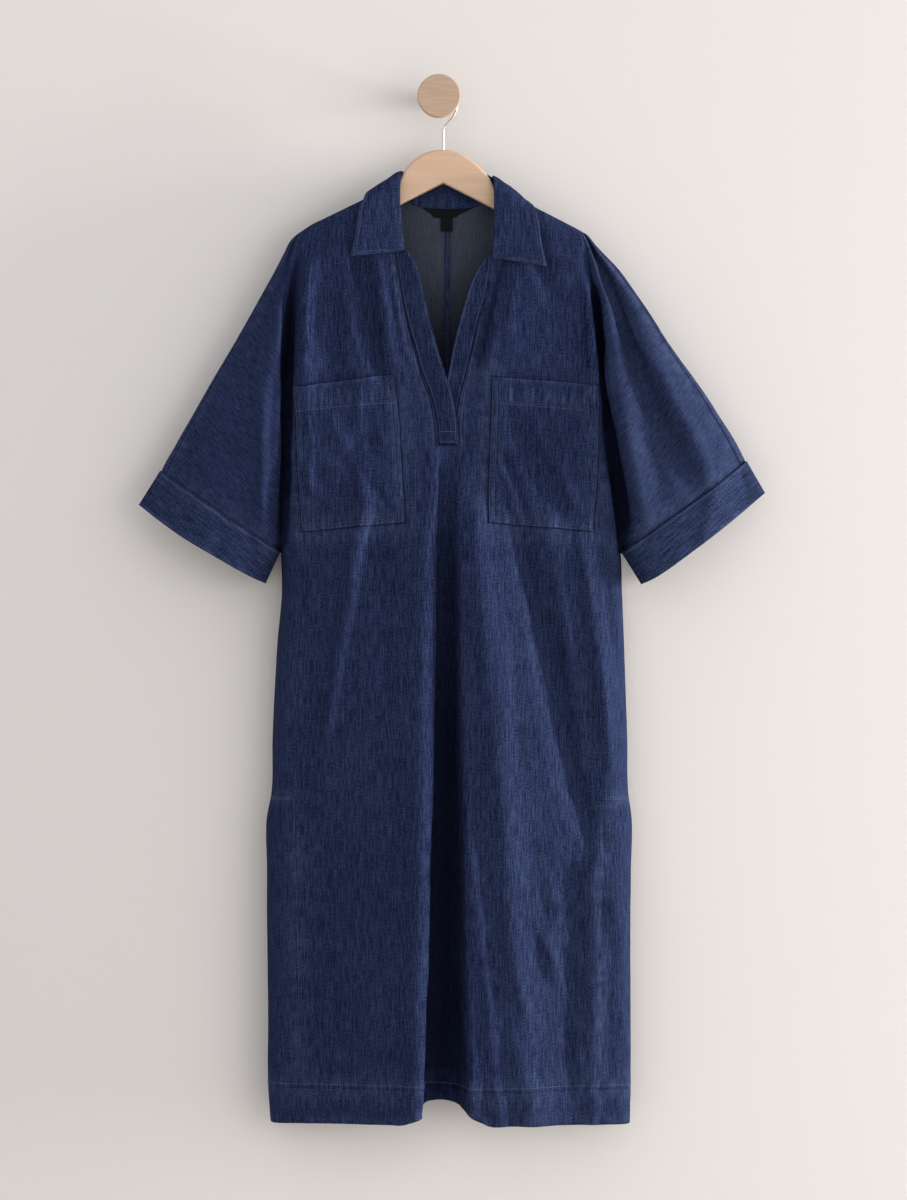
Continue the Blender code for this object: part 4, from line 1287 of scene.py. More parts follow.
@dataclass(frozen=True)
class PlainFinish:
    """A finish of one colour."""

    colour: Colour
    rough: float
    metal: float = 0.0
    shine: float = 0.1


BEECH = WoodFinish((0.620, 0.420, 0.285), (0.540, 0.350, 0.225), 0.42, 0.25, 160.0, 9.0)
PEG_WOOD = WoodFinish((0.510, 0.350, 0.250), (0.400, 0.265, 0.180), 0.60, 0.0, 420.0, 26.0)
NICKEL = PlainFinish((0.62, 0.61, 0.59), 0.28, 1.0, 0.5)
THREAD = PlainFinish((0.1100, 0.1400, 0.2600), 0.80)
LABEL_BLACK = PlainFinish((0.0040, 0.0042, 0.0055), 0.70)


class Graph:
    """A node tree with short calls to add and join nodes."""

    def __init__(self, tree: bpy.types.NodeTree) -> None:
        """Takes the tree to fill.

        Args:
            tree: The tree.
        """
        self.tree = tree

    def add(self, kind: str, **settings: object) -> bpy.types.Node:
        """Adds a node.

        Args:
            kind: Its type.
            **settings: Its attributes.

        Returns:
            The node.
        """
        node = self.tree.nodes.new(kind)
        for name, value in settings.items():
            setattr(node, name, value)
        return node

    def join(self, source: Socket, target: Socket) -> None:
        """Links two sockets."""
        self.tree.links.new(source, target)

    def maths(self, operation: str, *values: object) -> Socket:
        """A math node of sockets and numbers.

        Args:
            operation: What it works out.
            *values: Its inputs.

        Returns:
            Its result.
        """
        node = self.add("ShaderNodeMath", operation=operation)
        for socket, value in zip(node.inputs, values):
            if isinstance(value, Socket):
                self.join(value, socket)
            else:
                socket.default_value = value
        return node.outputs[0]

    def scaled(self, vector: Socket, scale: Sequence[float]) -> Socket:
        """A vector stretched by axis.

        Args:
            vector: The vector.
            scale: The factor of each axis.

        Returns:
            The stretched vector.
        """
        node = self.add("ShaderNodeVectorMath", operation="MULTIPLY")
        self.join(vector, node.inputs[0])
        node.inputs[1].default_value = scale
        return node.outputs[0]

    @staticmethod
    def fill(node: bpy.types.Node, values: dict[str, object]) -> None:
        """Sets some of a node's inputs, by their names."""
        for name, value in values.items():
            node.inputs[name].default_value = value

    def spot(self) -> Socket:
        """The place on the object, in metres."""
        return self.add("ShaderNodeTexCoord").outputs["Object"]

    def cloud(
        self, vector: Socket, scale: Sequence[float], detail: float = 2.0, rough: float = 0.5
    ) -> Socket:
        """A noise pattern stretched by axis.

        Args:
            vector: Where it is read.
            scale: How often it changes in each direction, for a metre.
            detail: Its smaller layers.
            rough: How strong they are.

        Returns:
            Its value, about 0.5.
        """
        node = self.add("ShaderNodeTexNoise")
        self.join(self.scaled(vector, scale), node.inputs["Vector"])
        self.fill(node, {"Scale": 1.0, "Detail": detail, "Roughness": rough})
        return node.outputs["Fac"]

    def span(
        self, value: Socket, low: float, high: float, to_low: float = 0.0, to_high: float = 1.0
    ) -> Socket:
        """A value's range stretched to another, held at its ends.

        Args:
            value: The value.
            low: Where its range starts.
            high: Where its range ends.
            to_low: What the start becomes.
            to_high: What the end becomes.

        Returns:
            The new value.
        """
        node = self.add("ShaderNodeMapRange")
        self.join(value, node.inputs["Value"])
        self.fill(node, {"From Min": low, "From Max": high, "To Min": to_low, "To Max": to_high})
        return node.outputs["Result"]

    def blend(self, share: object, one: object, two: object) -> Socket:
        """A mix of two colours.

        Args:
            share: How much of the second one, a socket or a number.
            one: The first colour or its socket.
            two: The second.

        Returns:
            The colour.
        """
        node = self.add("ShaderNodeMix", data_type="RGBA")
        sockets = (node.inputs[0], node.inputs[6], node.inputs[7])
        for socket, value in zip(sockets, (share, one, two)):
            if isinstance(value, Socket):
                self.join(value, socket)
            elif isinstance(value, tuple):
                socket.default_value = (*value, 1.0)
            else:
                socket.default_value = value
        return node.outputs[2]


class Wardrobe:
    """Makes each finish once."""

    def __init__(self) -> None:
        """Starts with none."""
        self.made: dict[Look, bpy.types.Material] = {}
        self.groups: dict[str, bpy.types.NodeTree] = {}

    def get(self, look: Look) -> bpy.types.Material:
        """The material of one finish.

        Args:
            look: Which.

        Returns:
            The material.
        """
        if look not in self.made:
            makers: dict[Look, Callable[[Look], bpy.types.Material]] = {
                Look.DENIM: lambda k: self.denim(k, DenimFinish()),
                Look.DENIM_TRIM: lambda k: self.denim(k, DenimFinish(deep=(0.0050, 0.0080, 0.0300))),
                Look.REVERSE: lambda k: self.reverse(k, ReverseFinish()),
                Look.THREAD: lambda k: self.plain(k, THREAD),
                Look.LABEL: self.label,
                Look.BEECH: lambda k: self.wood(k, BEECH),
                Look.PEG_FACE: lambda k: self.wood(k, PEG_WOOD),
                Look.WIRE: lambda k: self.plain(k, NICKEL),
                Look.WALL: self.wall,
                Look.FLOOR: lambda k: self.plain(k, PlainFinish((0.74, 0.72, 0.70), 0.8)),
            }
            self.made[look] = makers[look](look)
        return self.made[look]

    @staticmethod
    def started(look: Look) -> tuple[bpy.types.Material, Graph, bpy.types.Node]:
        """Starts a material.

        Args:
            look: The finish it is for.

        Returns:
            The material, its tree and its surface node.
        """
        material = bpy.data.materials.new(look.value)
        material.use_nodes = True
        return material, Graph(material.node_tree), material.node_tree.nodes["Principled BSDF"]

    def weave_group(self) -> bpy.types.NodeTree:
        """The cloth's pattern: slub yarns, twill, nap and cloudy dye.

        Returns:
            A group that gives Yarn, Cloud, Weave and Nap from a place in metres.
        """
        if "weave" in self.groups:
            return self.groups["weave"]
        tree = bpy.data.node_groups.new("cloth_weave", "ShaderNodeTree")
        tree.interface.new_socket("Place", in_out="INPUT", socket_type="NodeSocketVector")
        tree.interface.new_socket("Rib", in_out="INPUT", socket_type="NodeSocketFloat")
        for name in ("Yarn", "Cloud", "Weave", "Nap"):
            tree.interface.new_socket(name, in_out="OUTPUT", socket_type="NodeSocketFloat")
        graph = Graph(tree)
        start, end = graph.add("NodeGroupInput"), graph.add("NodeGroupOutput")
        spot = start.outputs["Place"]
        long_slubs = graph.span(graph.cloud(spot, (330, 11, 1), 3, 0.6), 0.30, 0.74)
        short_slubs = graph.span(graph.cloud(spot, (620, 46, 1), 2, 0.55), 0.30, 0.74)
        grain = graph.span(graph.cloud(spot, (1150, 400, 1), 2, 0.6), 0.28, 0.72)
        weft = graph.span(graph.cloud(spot, (70, 620, 1), 2, 0.5), 0.35, 0.75)
        yarn = graph.maths("MULTIPLY_ADD", long_slubs, 0.14, graph.maths("MULTIPLY", short_slubs, 0.32))
        yarn = graph.maths("MULTIPLY_ADD", grain, 0.44, yarn)
        graph.join(graph.maths("MULTIPLY_ADD", weft, 0.10, yarn), end.inputs["Yarn"])
        graph.join(graph.cloud(spot, (16, 7, 1), 3, 0.55), end.inputs["Cloud"])
        parts = graph.add("ShaderNodeSeparateXYZ")
        graph.join(spot, parts.inputs[0])
        slant = graph.maths("MULTIPLY_ADD", parts.outputs[1], 0.62, parts.outputs[0])
        turns = graph.maths("DIVIDE", slant, start.outputs["Rib"])
        ribs = graph.maths("SINE", graph.maths("MULTIPLY", turns, math.tau))
        graph.join(graph.maths("MULTIPLY_ADD", ribs, 0.5, 0.5), end.inputs["Weave"])
        graph.join(graph.cloud(spot, (2400, 2400, 1), 1, 0.5), end.inputs["Nap"])
        self.groups["weave"] = tree
        return tree

    def woven(self, graph: Graph, rib_mm: float) -> bpy.types.Node:
        """Adds the weave group, read at the cloth's own place.

        Args:
            graph: The material's tree.
            rib_mm: The pitch of the ribs, in millimetres.

        Returns:
            The group node.
        """
        node = graph.add("ShaderNodeGroup", node_tree=self.weave_group())
        spot = graph.add("ShaderNodeUVMap", uv_map="cloth")
        graph.join(spot.outputs["UV"], node.inputs["Place"])
        node.inputs["Rib"].default_value = rib_mm * MM
        return node

    @staticmethod
    def bumped(
        graph: Graph, surface: bpy.types.Node, height: Socket, strength: float, deep_mm: float
    ) -> None:
        """Raises a surface by a pattern.

        Args:
            graph: The material's tree.
            surface: Its surface node.
            height: The pattern.
            strength: How much of it is used.
            deep_mm: How deep it is, in millimetres.
        """
        bump = graph.add("ShaderNodeBump")
        graph.fill(bump, {"Strength": strength, "Distance": deep_mm * MM})
        graph.join(height, bump.inputs["Height"])
        graph.join(bump.outputs["Normal"], surface.inputs["Normal"])

    def denim(self, look: Look, finish: DenimFinish) -> bpy.types.Material:
        """The right side of the denim.

        Args:
            look: Which finish it is.
            finish: Its colours and its roughness.

        Returns:
            The material.
        """
        material, graph, surface = self.started(look)
        weave = self.woven(graph, finish.weave_mm)
        share = graph.maths("MULTIPLY_ADD", weave.outputs["Yarn"], 1.42, -0.50)
        cloudy = graph.span(weave.outputs["Cloud"], 0.30, 0.70, -0.035, 0.035)
        share = graph.maths("ADD", share, cloudy)
        share = graph.maths("MULTIPLY_ADD", weave.outputs["Weave"], 0.05, share)
        colour = graph.blend(graph.maths("MAXIMUM", share, 0.0), finish.deep, finish.pale)
        # The fade attribute pales the cloth for wear and for painted light, and darkens it towards the
        # near-black for painted shade.
        worn = graph.add("ShaderNodeAttribute", attribute_name="fade")
        pale = graph.maths("MAXIMUM", worn.outputs["Fac"], 0.0)
        fade = graph.maths("MULTIPLY", pale, graph.span(weave.outputs["Yarn"], 0.30, 0.75, 0.20, 1.0))
        colour = graph.blend(graph.maths("MULTIPLY", fade, 0.50), colour, finish.worn)
        colour = graph.blend(graph.span(worn.outputs["Fac"], 0.0, -1.0), colour, finish.painted_shade_and_unworn_dye)
        graph.join(colour, surface.inputs["Base Color"])
        graph.fill(surface, {"Roughness": finish.rough, "Specular IOR Level": CLOTH_SHINE})
        nap = graph.maths("MULTIPLY", weave.outputs["Nap"], 0.5)
        height = graph.maths("MULTIPLY_ADD", weave.outputs["Weave"], 0.5, nap)
        height = graph.maths("MULTIPLY_ADD", weave.outputs["Yarn"], 1.3, height)
        self.bumped(graph, surface, height, 0.35, 0.16)
        return material

    def reverse(self, look: Look, finish: ReverseFinish) -> bpy.types.Material:
        """The wrong side of the denim, darkened lower down by painted shade.

        Args:
            look: Which finish it is.
            finish: Its colours and its roughness.

        Returns:
            The material.
        """
        material, graph, surface = self.started(look)
        weave = self.woven(graph, finish.weave_mm)
        share = graph.maths("MULTIPLY_ADD", weave.outputs["Yarn"], 1.1, -0.25)
        cloth = graph.blend(share, finish.body, finish.pale)
        # Painted shade: darker from the first height down to the full one.
        height = graph.add("ShaderNodeSeparateXYZ")
        graph.join(graph.spot(), height.inputs[0])
        low = graph.span(height.outputs["Z"], finish.painted_shade_full, finish.painted_shade_from, 0.70, 0.0)
        graph.join(graph.blend(low, cloth, finish.painted_shade), surface.inputs["Base Color"])
        graph.fill(surface, {"Roughness": finish.rough, "Specular IOR Level": CLOTH_SHINE})
        self.bumped(graph, surface, weave.outputs["Weave"], 0.3, 0.14)
        return material

    def label(self, look: Look) -> bpy.types.Material:
        """A damask-woven label, left bare.

        Args:
            look: Which finish it is.

        Returns:
            The material.
        """
        material, graph, surface = self.started(look)
        weave = self.woven(graph, 0.5)
        colour = graph.blend(weave.outputs["Weave"], LABEL_BLACK.colour, (0.0065, 0.0068, 0.0085))
        graph.join(colour, surface.inputs["Base Color"])
        graph.fill(surface, {"Roughness": LABEL_BLACK.rough, "Specular IOR Level": 0.08})
        return material

    def wood(self, look: Look, finish: WoodFinish) -> bpy.types.Material:
        """Wood whose grain runs across the wall.

        Args:
            look: Which finish it is.
            finish: Its colours and its roughness.

        Returns:
            The material.
        """
        material, graph, surface = self.started(look)
        spot = graph.spot()
        across, along = finish.grain_across, finish.grain_along
        lines = graph.span(graph.cloud(spot, (along, across * 0.5, across), 4, 0.6), 0.32, 0.70)
        flecks = graph.span(graph.cloud(spot, (along * 9, across * 3, across * 5), 1, 0.5), 0.60, 0.80)
        share = graph.maths("MULTIPLY", lines, 0.8)
        share = graph.maths("MAXIMUM", share, graph.maths("MULTIPLY", flecks, 0.5))
        graph.join(graph.blend(share, finish.light, finish.dark), surface.inputs["Base Color"])
        matt = graph.span(lines, 0.0, 1.0, finish.rough, finish.rough + 0.12)
        graph.join(matt, surface.inputs["Roughness"])
        graph.fill(surface, {"Coat Weight": finish.coat, "Coat Roughness": 0.3})
        self.bumped(graph, surface, lines, 0.12, 0.15)
        return material

    def plain(self, look: Look, finish: PlainFinish) -> bpy.types.Material:
        """A finish of one colour with a slight unevenness.

        Args:
            look: Which finish it is.
            finish: Its colours and its roughness.

        Returns:
            The material.
        """
        material, graph, surface = self.started(look)
        spot = graph.spot()
        uneven = graph.cloud(spot, (300, 300, 300), 2, 0.5)
        darker = tuple(c * 0.86 for c in finish.colour)
        graph.join(graph.blend(uneven, finish.colour, darker), surface.inputs["Base Color"])
        shine = {"Metallic": finish.metal, "Specular IOR Level": finish.shine}
        graph.fill(surface, {"Roughness": finish.rough, **shine})
        return material

    def wall(self, look: Look) -> bpy.types.Material:
        """Matt paint, seen only from the room's side.

        Args:
            look: Which finish it is.

        Returns:
            The material.
        """
        material, graph, surface = self.started(look)
        spot = graph.spot()
        tone = graph.cloud(spot, (0.7, 0.7, 0.7), 1, 0.5)
        paint = graph.blend(tone, (0.735, 0.700, 0.670), (0.760, 0.728, 0.700))
        graph.join(paint, surface.inputs["Base Color"])
        graph.fill(surface, {"Roughness": 0.95, "Specular IOR Level": 0.1})
        clear = graph.add("ShaderNodeBsdfTransparent")
        either = graph.add("ShaderNodeMixShader")
        behind = graph.add("ShaderNodeNewGeometry")
        graph.join(behind.outputs["Backfacing"], either.inputs[0])
        graph.join(surface.outputs[0], either.inputs[1])
        graph.join(clear.outputs[0], either.inputs[2])
        out = next(n for n in material.node_tree.nodes if n.type == "OUTPUT_MATERIAL")
        graph.join(either.outputs[0], out.inputs["Surface"])
        return material


# ------------------------------------------------------------------- the cloth
SIDE = 6  # the column of the front's side seam
PLEAT_FROM, PLEAT_TO = 18, 24  # the columns of the pleat's lips
LAST = 42  # the front's last column, at the other sleeve's overarm
SLIT = 19.1  # the level of the slits' heads
HEM = 25.0  # the level of the hem's seam
SEWN_HEM = 24.95
FACINGS = {-1: 8.5, 1: 33.7}  # the columns of the front's slit hems
BACK_FACING = 5.05
CUFF_SEAM = 0.11  # above the underarm's level
POCKETS = (("pocket_left", 8, 16), ("pocket_right", 26, 34))
PLEAT = [0.03, 0.12, 0.42, 0.68, 0.86]
PLEAT_IN = [0.40, 0.92, 1.0, 0.84, 0.36]
ACROSS = [0.0, 0.09, 0.24, 0.42, 0.60, 0.80, 1.0]
ROUND = [0.0, 0.78, 0.98, 1.0, 0.96, 0.70, 0.0]
BACK_ACROSS = [0.0, 0.12, 0.45, 0.75, 1.0]
BACK_ROUND = [0.0, 0.8, 1.0, 0.85, 0.0]
POCKET_CELLS = 8
POCKET_STITCH = (0.14, 0.50)
POCKET_LEVEL = 0.30  # of a level, as tall as one column is wide
COLLAR_STITCH = 0.13
CUFF_STITCH = 0.055
POCKET_INSETS = (0.045, 0.09, 0.14, 0.20, 0.32, 0.44, 0.50, 0.56)
BAND_LEVEL = 0.97
TILT_ACROSS = [-0.4, -0.9, -1.1, -0.9, -0.4, 0.0, 0.4, 0.7, 0.9]
SKIRT_TILT = 9.0
BACK_CELLS = 6


def finer(net: Net, column: int, step: float) -> list[float]:
    """Levels at an even step down one column of a net.

    Args:
        net: The coarse net.
        column: The column that is measured.
        step: The step, in millimetres.

    Returns:
        The levels, the net's own among them.
    """
    levels = [0.0]
    for index, (one, two) in enumerate(zip(net, net[1:])):
        count = max(1, round((one[column] - two[column]).length / (step * MM)))
        levels += [index + (k + 1) / count for k in range(count)]
    return levels


def split_columns(cells: Sequence[int]) -> list[float]:
    """Columns with each cell of a net cut up evenly.

    Args:
        cells: How many parts to cut each cell into.

    Returns:
        The columns.
    """
    columns = [0.0]
    for index, count in enumerate(cells):
        columns += [index + (k + 1) / count for k in range(count)]
    return columns


class FrontPanel:
    """The front, cut in one with both sleeves, with its centre pleat."""

    GRAIN = {-1: (0.643, -0.766), 1: (0.574, 0.819)}
    CUFF_GRAIN = {-1: (0.777, -0.629), 1: (0.766, 0.643)}

    def __init__(self) -> None:
        """Lays out the coarse net and the stitched lines."""
        self.net = [self.level(index) for index in range(len(LEFT))]
        self.lips = [Strand([row[c] for row in self.net]) for c in (PLEAT_FROM, PLEAT_TO)]
        cuff = ROW["underarm"] - CUFF_SEAM
        # Where six numbers are given, the last is how dark the ditch is painted: partly unworn dye, partly
        # painted shade.
        self.lines = [
            self.line("hem", along_level(HEM, SIDE, LAST - SIDE), 3.4, 26, 0.7, 0.4),
            self.line("hem_edge", along_level(HEM + 1, SIDE, LAST - SIDE), 0.9, 14),
        ]
        for name, side, start in (("facing_left", -1, 6.0), ("facing_right", 1, 36.0)):
            turned = FACINGS[side]
            route = [(SLIT, start), (SLIT, turned), (22, turned), (HEM, turned)]
            self.lines.append(self.line(name, route, 0.9, 16, 0.5, 0.5))
        self.lines += [
            self.line("cuff_left", along_level(cuff, 0, SIDE), 1.0, 26, 1.4, 1.2),
            self.line("cuff_right", along_level(cuff, LAST - SIDE, LAST), 1.0, 26, 1.4, 1.2),
            self.line("placket_left", down_column(17.9, 3, 11), 1.2, 14, 0.9, 0.7),
            self.line("placket_right", down_column(24.1, 3, 11), 1.2, 14, 0.7, 0.3),
            self.line("overarm_left", down_column(0.22, 1, 14), 0.5, 14, 0.5, 0.5),
            self.line("overarm_right", down_column(41.78, 1, 14), 0.5, 14, 0.6, 0.8),
        ]
        for name, first, last in POCKETS:
            self.lines.append(self.line(name, self.pocket_route(first, last, 0.0), 1.7, 26))

    @staticmethod
    def pocket_route(first: float, last: float, inside: float) -> list[Pair]:
        """The three sewn sides of a pocket.

        Args:
            first: The pocket's first column.
            last: Its last column.
            inside: How far in from its edges, in columns.

        Returns:
            The route, as levels and columns.
        """
        top, foot = float(ROW["pocket_top"]), float(ROW["pocket_foot"])
        low, high = first + inside, last - inside
        down = [top + (foot - top) * t / 5 for t in range(6)]
        route = [(level, low) for level in down]
        route += [(foot, mix(low, high, t / 8)) for t in range(1, 9)]
        return route + [(level, high) for level in down[-2::-1]]

    def level(self, index: int) -> Row:
        """One level of the front, without its folds.

        Args:
            index: The level's number.

        Returns:
            Its points; None where there is no cloth.
        """
        left, right, depth = LEFT[index], RIGHT[index], FRONT_DEPTH[index]
        sleeves = index <= ROW["underarm"]
        gap: Row = [None] * (len(ACROSS) - 1)
        one = self.sleeve(left, depth, index) if sleeves else gap
        two = self.sleeve(right, depth, index) if sleeves else gap
        near, far = self.body(left, depth, index), self.body(right, depth, index)
        middle: Row = [None] * len(PLEAT)
        if index >= ROW["slit_foot"]:
            middle = []
            for t, share in zip(PLEAT, PLEAT_IN):
                point = near[-1].lerp(far[-1], t)
                point.y += depth.pleat * share * MM
                if index == len(LEFT) - 1:
                    point.z += 0.31 * depth.pleat * share * MM
                middle.append(point)
        return one + near + middle + far[::-1] + two[::-1]

    @staticmethod
    def sleeve(half: Half, depth: Depth, index: int) -> Row:
        """One level of a sleeve's front, from the overarm seam to the body.

        Args:
            half: The level's sizes.
            depth: Its depths.
            index: The level's number.

        Returns:
            Its points.
        """
        drop = 3.0 * index / ROW["underarm"] if index > 1 else 0.0
        row: Row = []
        for across, full in list(zip(ACROSS, ROUND))[:0:-1]:
            base = mix(depth.side, depth.over + SEAM_HALF, across)
            d = mix(base, depth.sleeve, full)
            z = mix(half.side_z, half.over_z, across) - drop * full
            row.append(place(mix(half.side_x, half.over_x, across), d, z))
        return row

    @staticmethod
    def body(half: Half, depth: Depth, index: int) -> list[Vector]:
        """One level of a half front, from its side to the placket or the pleat.

        Args:
            half: The level's sizes.
            depth: Its depths.
            index: The level's number.

        Returns:
            Its points.
        """
        full = ease((index - ROW["pocket_foot"]) / 3.0)
        flap = 9.0 * ease((index - ROW["slit_open"]) / 2.0)
        places = [(half.side_x, depth.side + side_gap(index) + flap), (half.fold_x, depth.fold + flap * 0.5)]
        for cell in range(POCKET_CELLS + 1):
            t = cell / POCKET_CELLS
            d = swell(depth.pocket, depth.middle, depth.inner, t)
            d += SKIRT_TILT * full * table_at(TILT_ACROSS, t * POCKET_CELLS)
            places.append((mix(half.pocket_x, half.inner_x, t), d))
        for t in (0.5, 1.0):
            d = mix(depth.inner, depth.edge, t) + SKIRT_TILT * full * mix(0.9, 0.5, t)
            places.append((mix(half.inner_x, half.edge_x, t), d))
        row = []
        for x, d in places:
            if abs(x - half.side_x) <= abs(half.inner_x - half.side_x):
                z = mix(half.side_z, half.inner_z, (x - half.side_x) / (half.inner_x - half.side_x))
            else:
                z = mix(half.inner_z, half.edge_z, (x - half.inner_x) / (half.edge_x - half.inner_x))
            row.append(place(x, d, z))
        return row

    def line(
        self,
        name: str,
        route: Sequence[Pair],
        pucker: float,
        reach: float,
        ditch: float = 0.4,
        dark: float = 0.0,
    ) -> SeamLine:
        """A sewn line from its levels and columns.

        Args:
            name: What it is.
            route: Its corners, as levels and columns.
            pucker: How strong its puckers are, in millimetres.
            reach: How far they reach, in millimetres.
            ditch: How deep the seam lies, in millimetres.
            dark: How dark its ditch is painted, partly as unworn dye and partly as painted shade.

        Returns:
            The line.
        """
        spots = [net_at(self.net, level, column) for level, column in route]
        corners = tuple((p.x / MM, p.z / MM) for p in spots if p is not None)
        return SeamLine(name, corners, pucker, reach, ditch, dark)

    def large(self, level: float, column: float, point: Vector) -> Vector:
        """Adds the large folds to a point, as its solid has them.

        Args:
            level: The place's level.
            column: Its column.
            point: The place.

        Returns:
            The raised place.
        """
        x, z = point.x / MM, point.z / MM
        lift = 0.0
        if column < SIDE or column > LAST - SIDE:
            folds = LEFT_SLEEVE_FOLDS if column < SIDE else RIGHT_SLEEVE_FOLDS
            near = column if column < SIDE else LAST - column
            across = table_at(ACROSS[::-1], near)
            held = ease((SIDE - near) * 1.4) * ease(near * 1.4)
            for fold in folds:
                share = bell(across - fold.across, fold.half_wide)
                down = level / ROW["underarm"]
                lift += fold.high * share * ease(down * 5) * ease((fold.gone - down) * 3) * held
        elif PLEAT_FROM < column < PLEAT_TO:
            t = (column - PLEAT_FROM) / (PLEAT_TO - PLEAT_FROM)
            lips = [lip.at(level) for lip in self.lips]
            ends = [fold_lift(FRONT_FOLDS, lip.x / MM, lip.z / MM) for lip in lips]
            lift = mix(ends[0], ends[1], t) * ease((level - ROW["slit_foot"]) * 1.5)
        else:
            near = column if column <= PLEAT_FROM else LAST - column
            held = ease((near - 7) / 2.0) * ease((level - 2) / 1.5)
            if near > 17 and level < ROW["slit_foot"] + 0.7:
                held *= mix(1.0, ease((level - ROW["slit_foot"]) * 1.5), ease(near - 17))
            lift = held * fold_lift(FRONT_FOLDS, x, z)
        return point + Vector((0, -lift * MM, 0))

    def small(self, level: float, column: float, point: Vector) -> float:
        """The creases, puckers and unevenness of a place.

        Args:
            level: The place's level.
            column: Its column.
            point: The place.

        Returns:
            The lift in millimetres.
        """
        x, z = point.x / MM, point.z / MM
        edge = min(1.0, ease((level - 0.3) / 1.2))
        if column <= SIDE or column >= LAST - SIDE:
            near = column if column <= SIDE else LAST - column
            edge *= ease(near * 1.2) * (1 if level < 13 else mix(1, 0.3, ease(level - 13)))
        lift = 1.3 * crease_lift(FRONT_CREASES, x, z) + rumple(x, z, 3.0)
        return edge * lift + seam_lift(self.lines, x, z) * min(1.0, edge + 0.3)

    def under_pocket(self, level: float, column: float) -> float:
        """How far inside a pocket's outline a place is.

        Args:
            level: The place's level.
            column: Its column.

        Returns:
            A share from 0 outside to 1 inside.
        """
        top, foot = ROW["pocket_top"], ROW["pocket_foot"]
        near = column if column < 21 else LAST - column
        inside = min(ease((near - 7.9) * 3), ease((16.1 - near) * 3))
        return inside * min(ease((level - top + 0.1) * 4), ease((foot + 0.1 - level) * 4))

    def uv(self, patch: int, column: float, point: Vector) -> Pair:
        """The cloth's own place: streaks follow the cuff on the sleeves.

        Args:
            patch: The patch that the face belongs to.
            column: Its column.
            point: The place.

        Returns:
            The place on the flat cloth, in metres.
        """
        if patch:
            along_x, along_z = self.GRAIN[patch]
            across = patch * (point.x * along_z - point.z * along_x)
            return (1.6 * across + 2.0 * patch, 1.8 * (point.x * along_x + point.z * along_z))
        turned = ease((9 - min(column, LAST - column)) / 2.0)
        side = math.copysign(1.0, point.x)
        return (point.x + side * turned * (0.066 + point.y), point.z)

    @staticmethod
    def uv_flat(patch: int, column: float, point: Vector) -> Pair:
        """The place of a strip cut straight down the cloth."""
        return (point.x + 11.0, point.z)

    def surface(self, levels: Sequence[float], columns: Sequence[float]) -> Surface:
        """The front's places with their large folds."""
        return Surface.of(self.net, levels, columns).move(self.large)


def net_at(net: Net, level: float, column: float) -> Optional[Vector]:
    """A coarse net's point between its own.

    Args:
        net: The coarse net.
        level: The level.
        column: The column.

    Returns:
        The point, or None in a gap.
    """
    i, j = min(int(level), len(net) - 2), min(int(column), len(net[0]) - 2)
    a, b, c, d = net[i][j], net[i][j + 1], net[i + 1][j], net[i + 1][j + 1]
    s, t = level - i, column - j
    if t < 1e-9:
        b, d = a, c
    if t > 1 - 1e-9:
        a, c = b, d
    if s < 1e-9:
        c, d = a, b
    if s > 1 - 1e-9:
        a, b = c, d
    if None in (a, b, c, d):
        return None
    return a.lerp(b, t).lerp(c.lerp(d, t), s)


def side_gap(index: int) -> float:
    """Half the space between front and back along the side.

    Args:
        index: The level's number.

    Returns:
        The half space in millimetres.
    """
    if index < ROW["underarm"]:
        return 0.0
    return 0.55 if index <= ROW["slit_head"] else 2.2


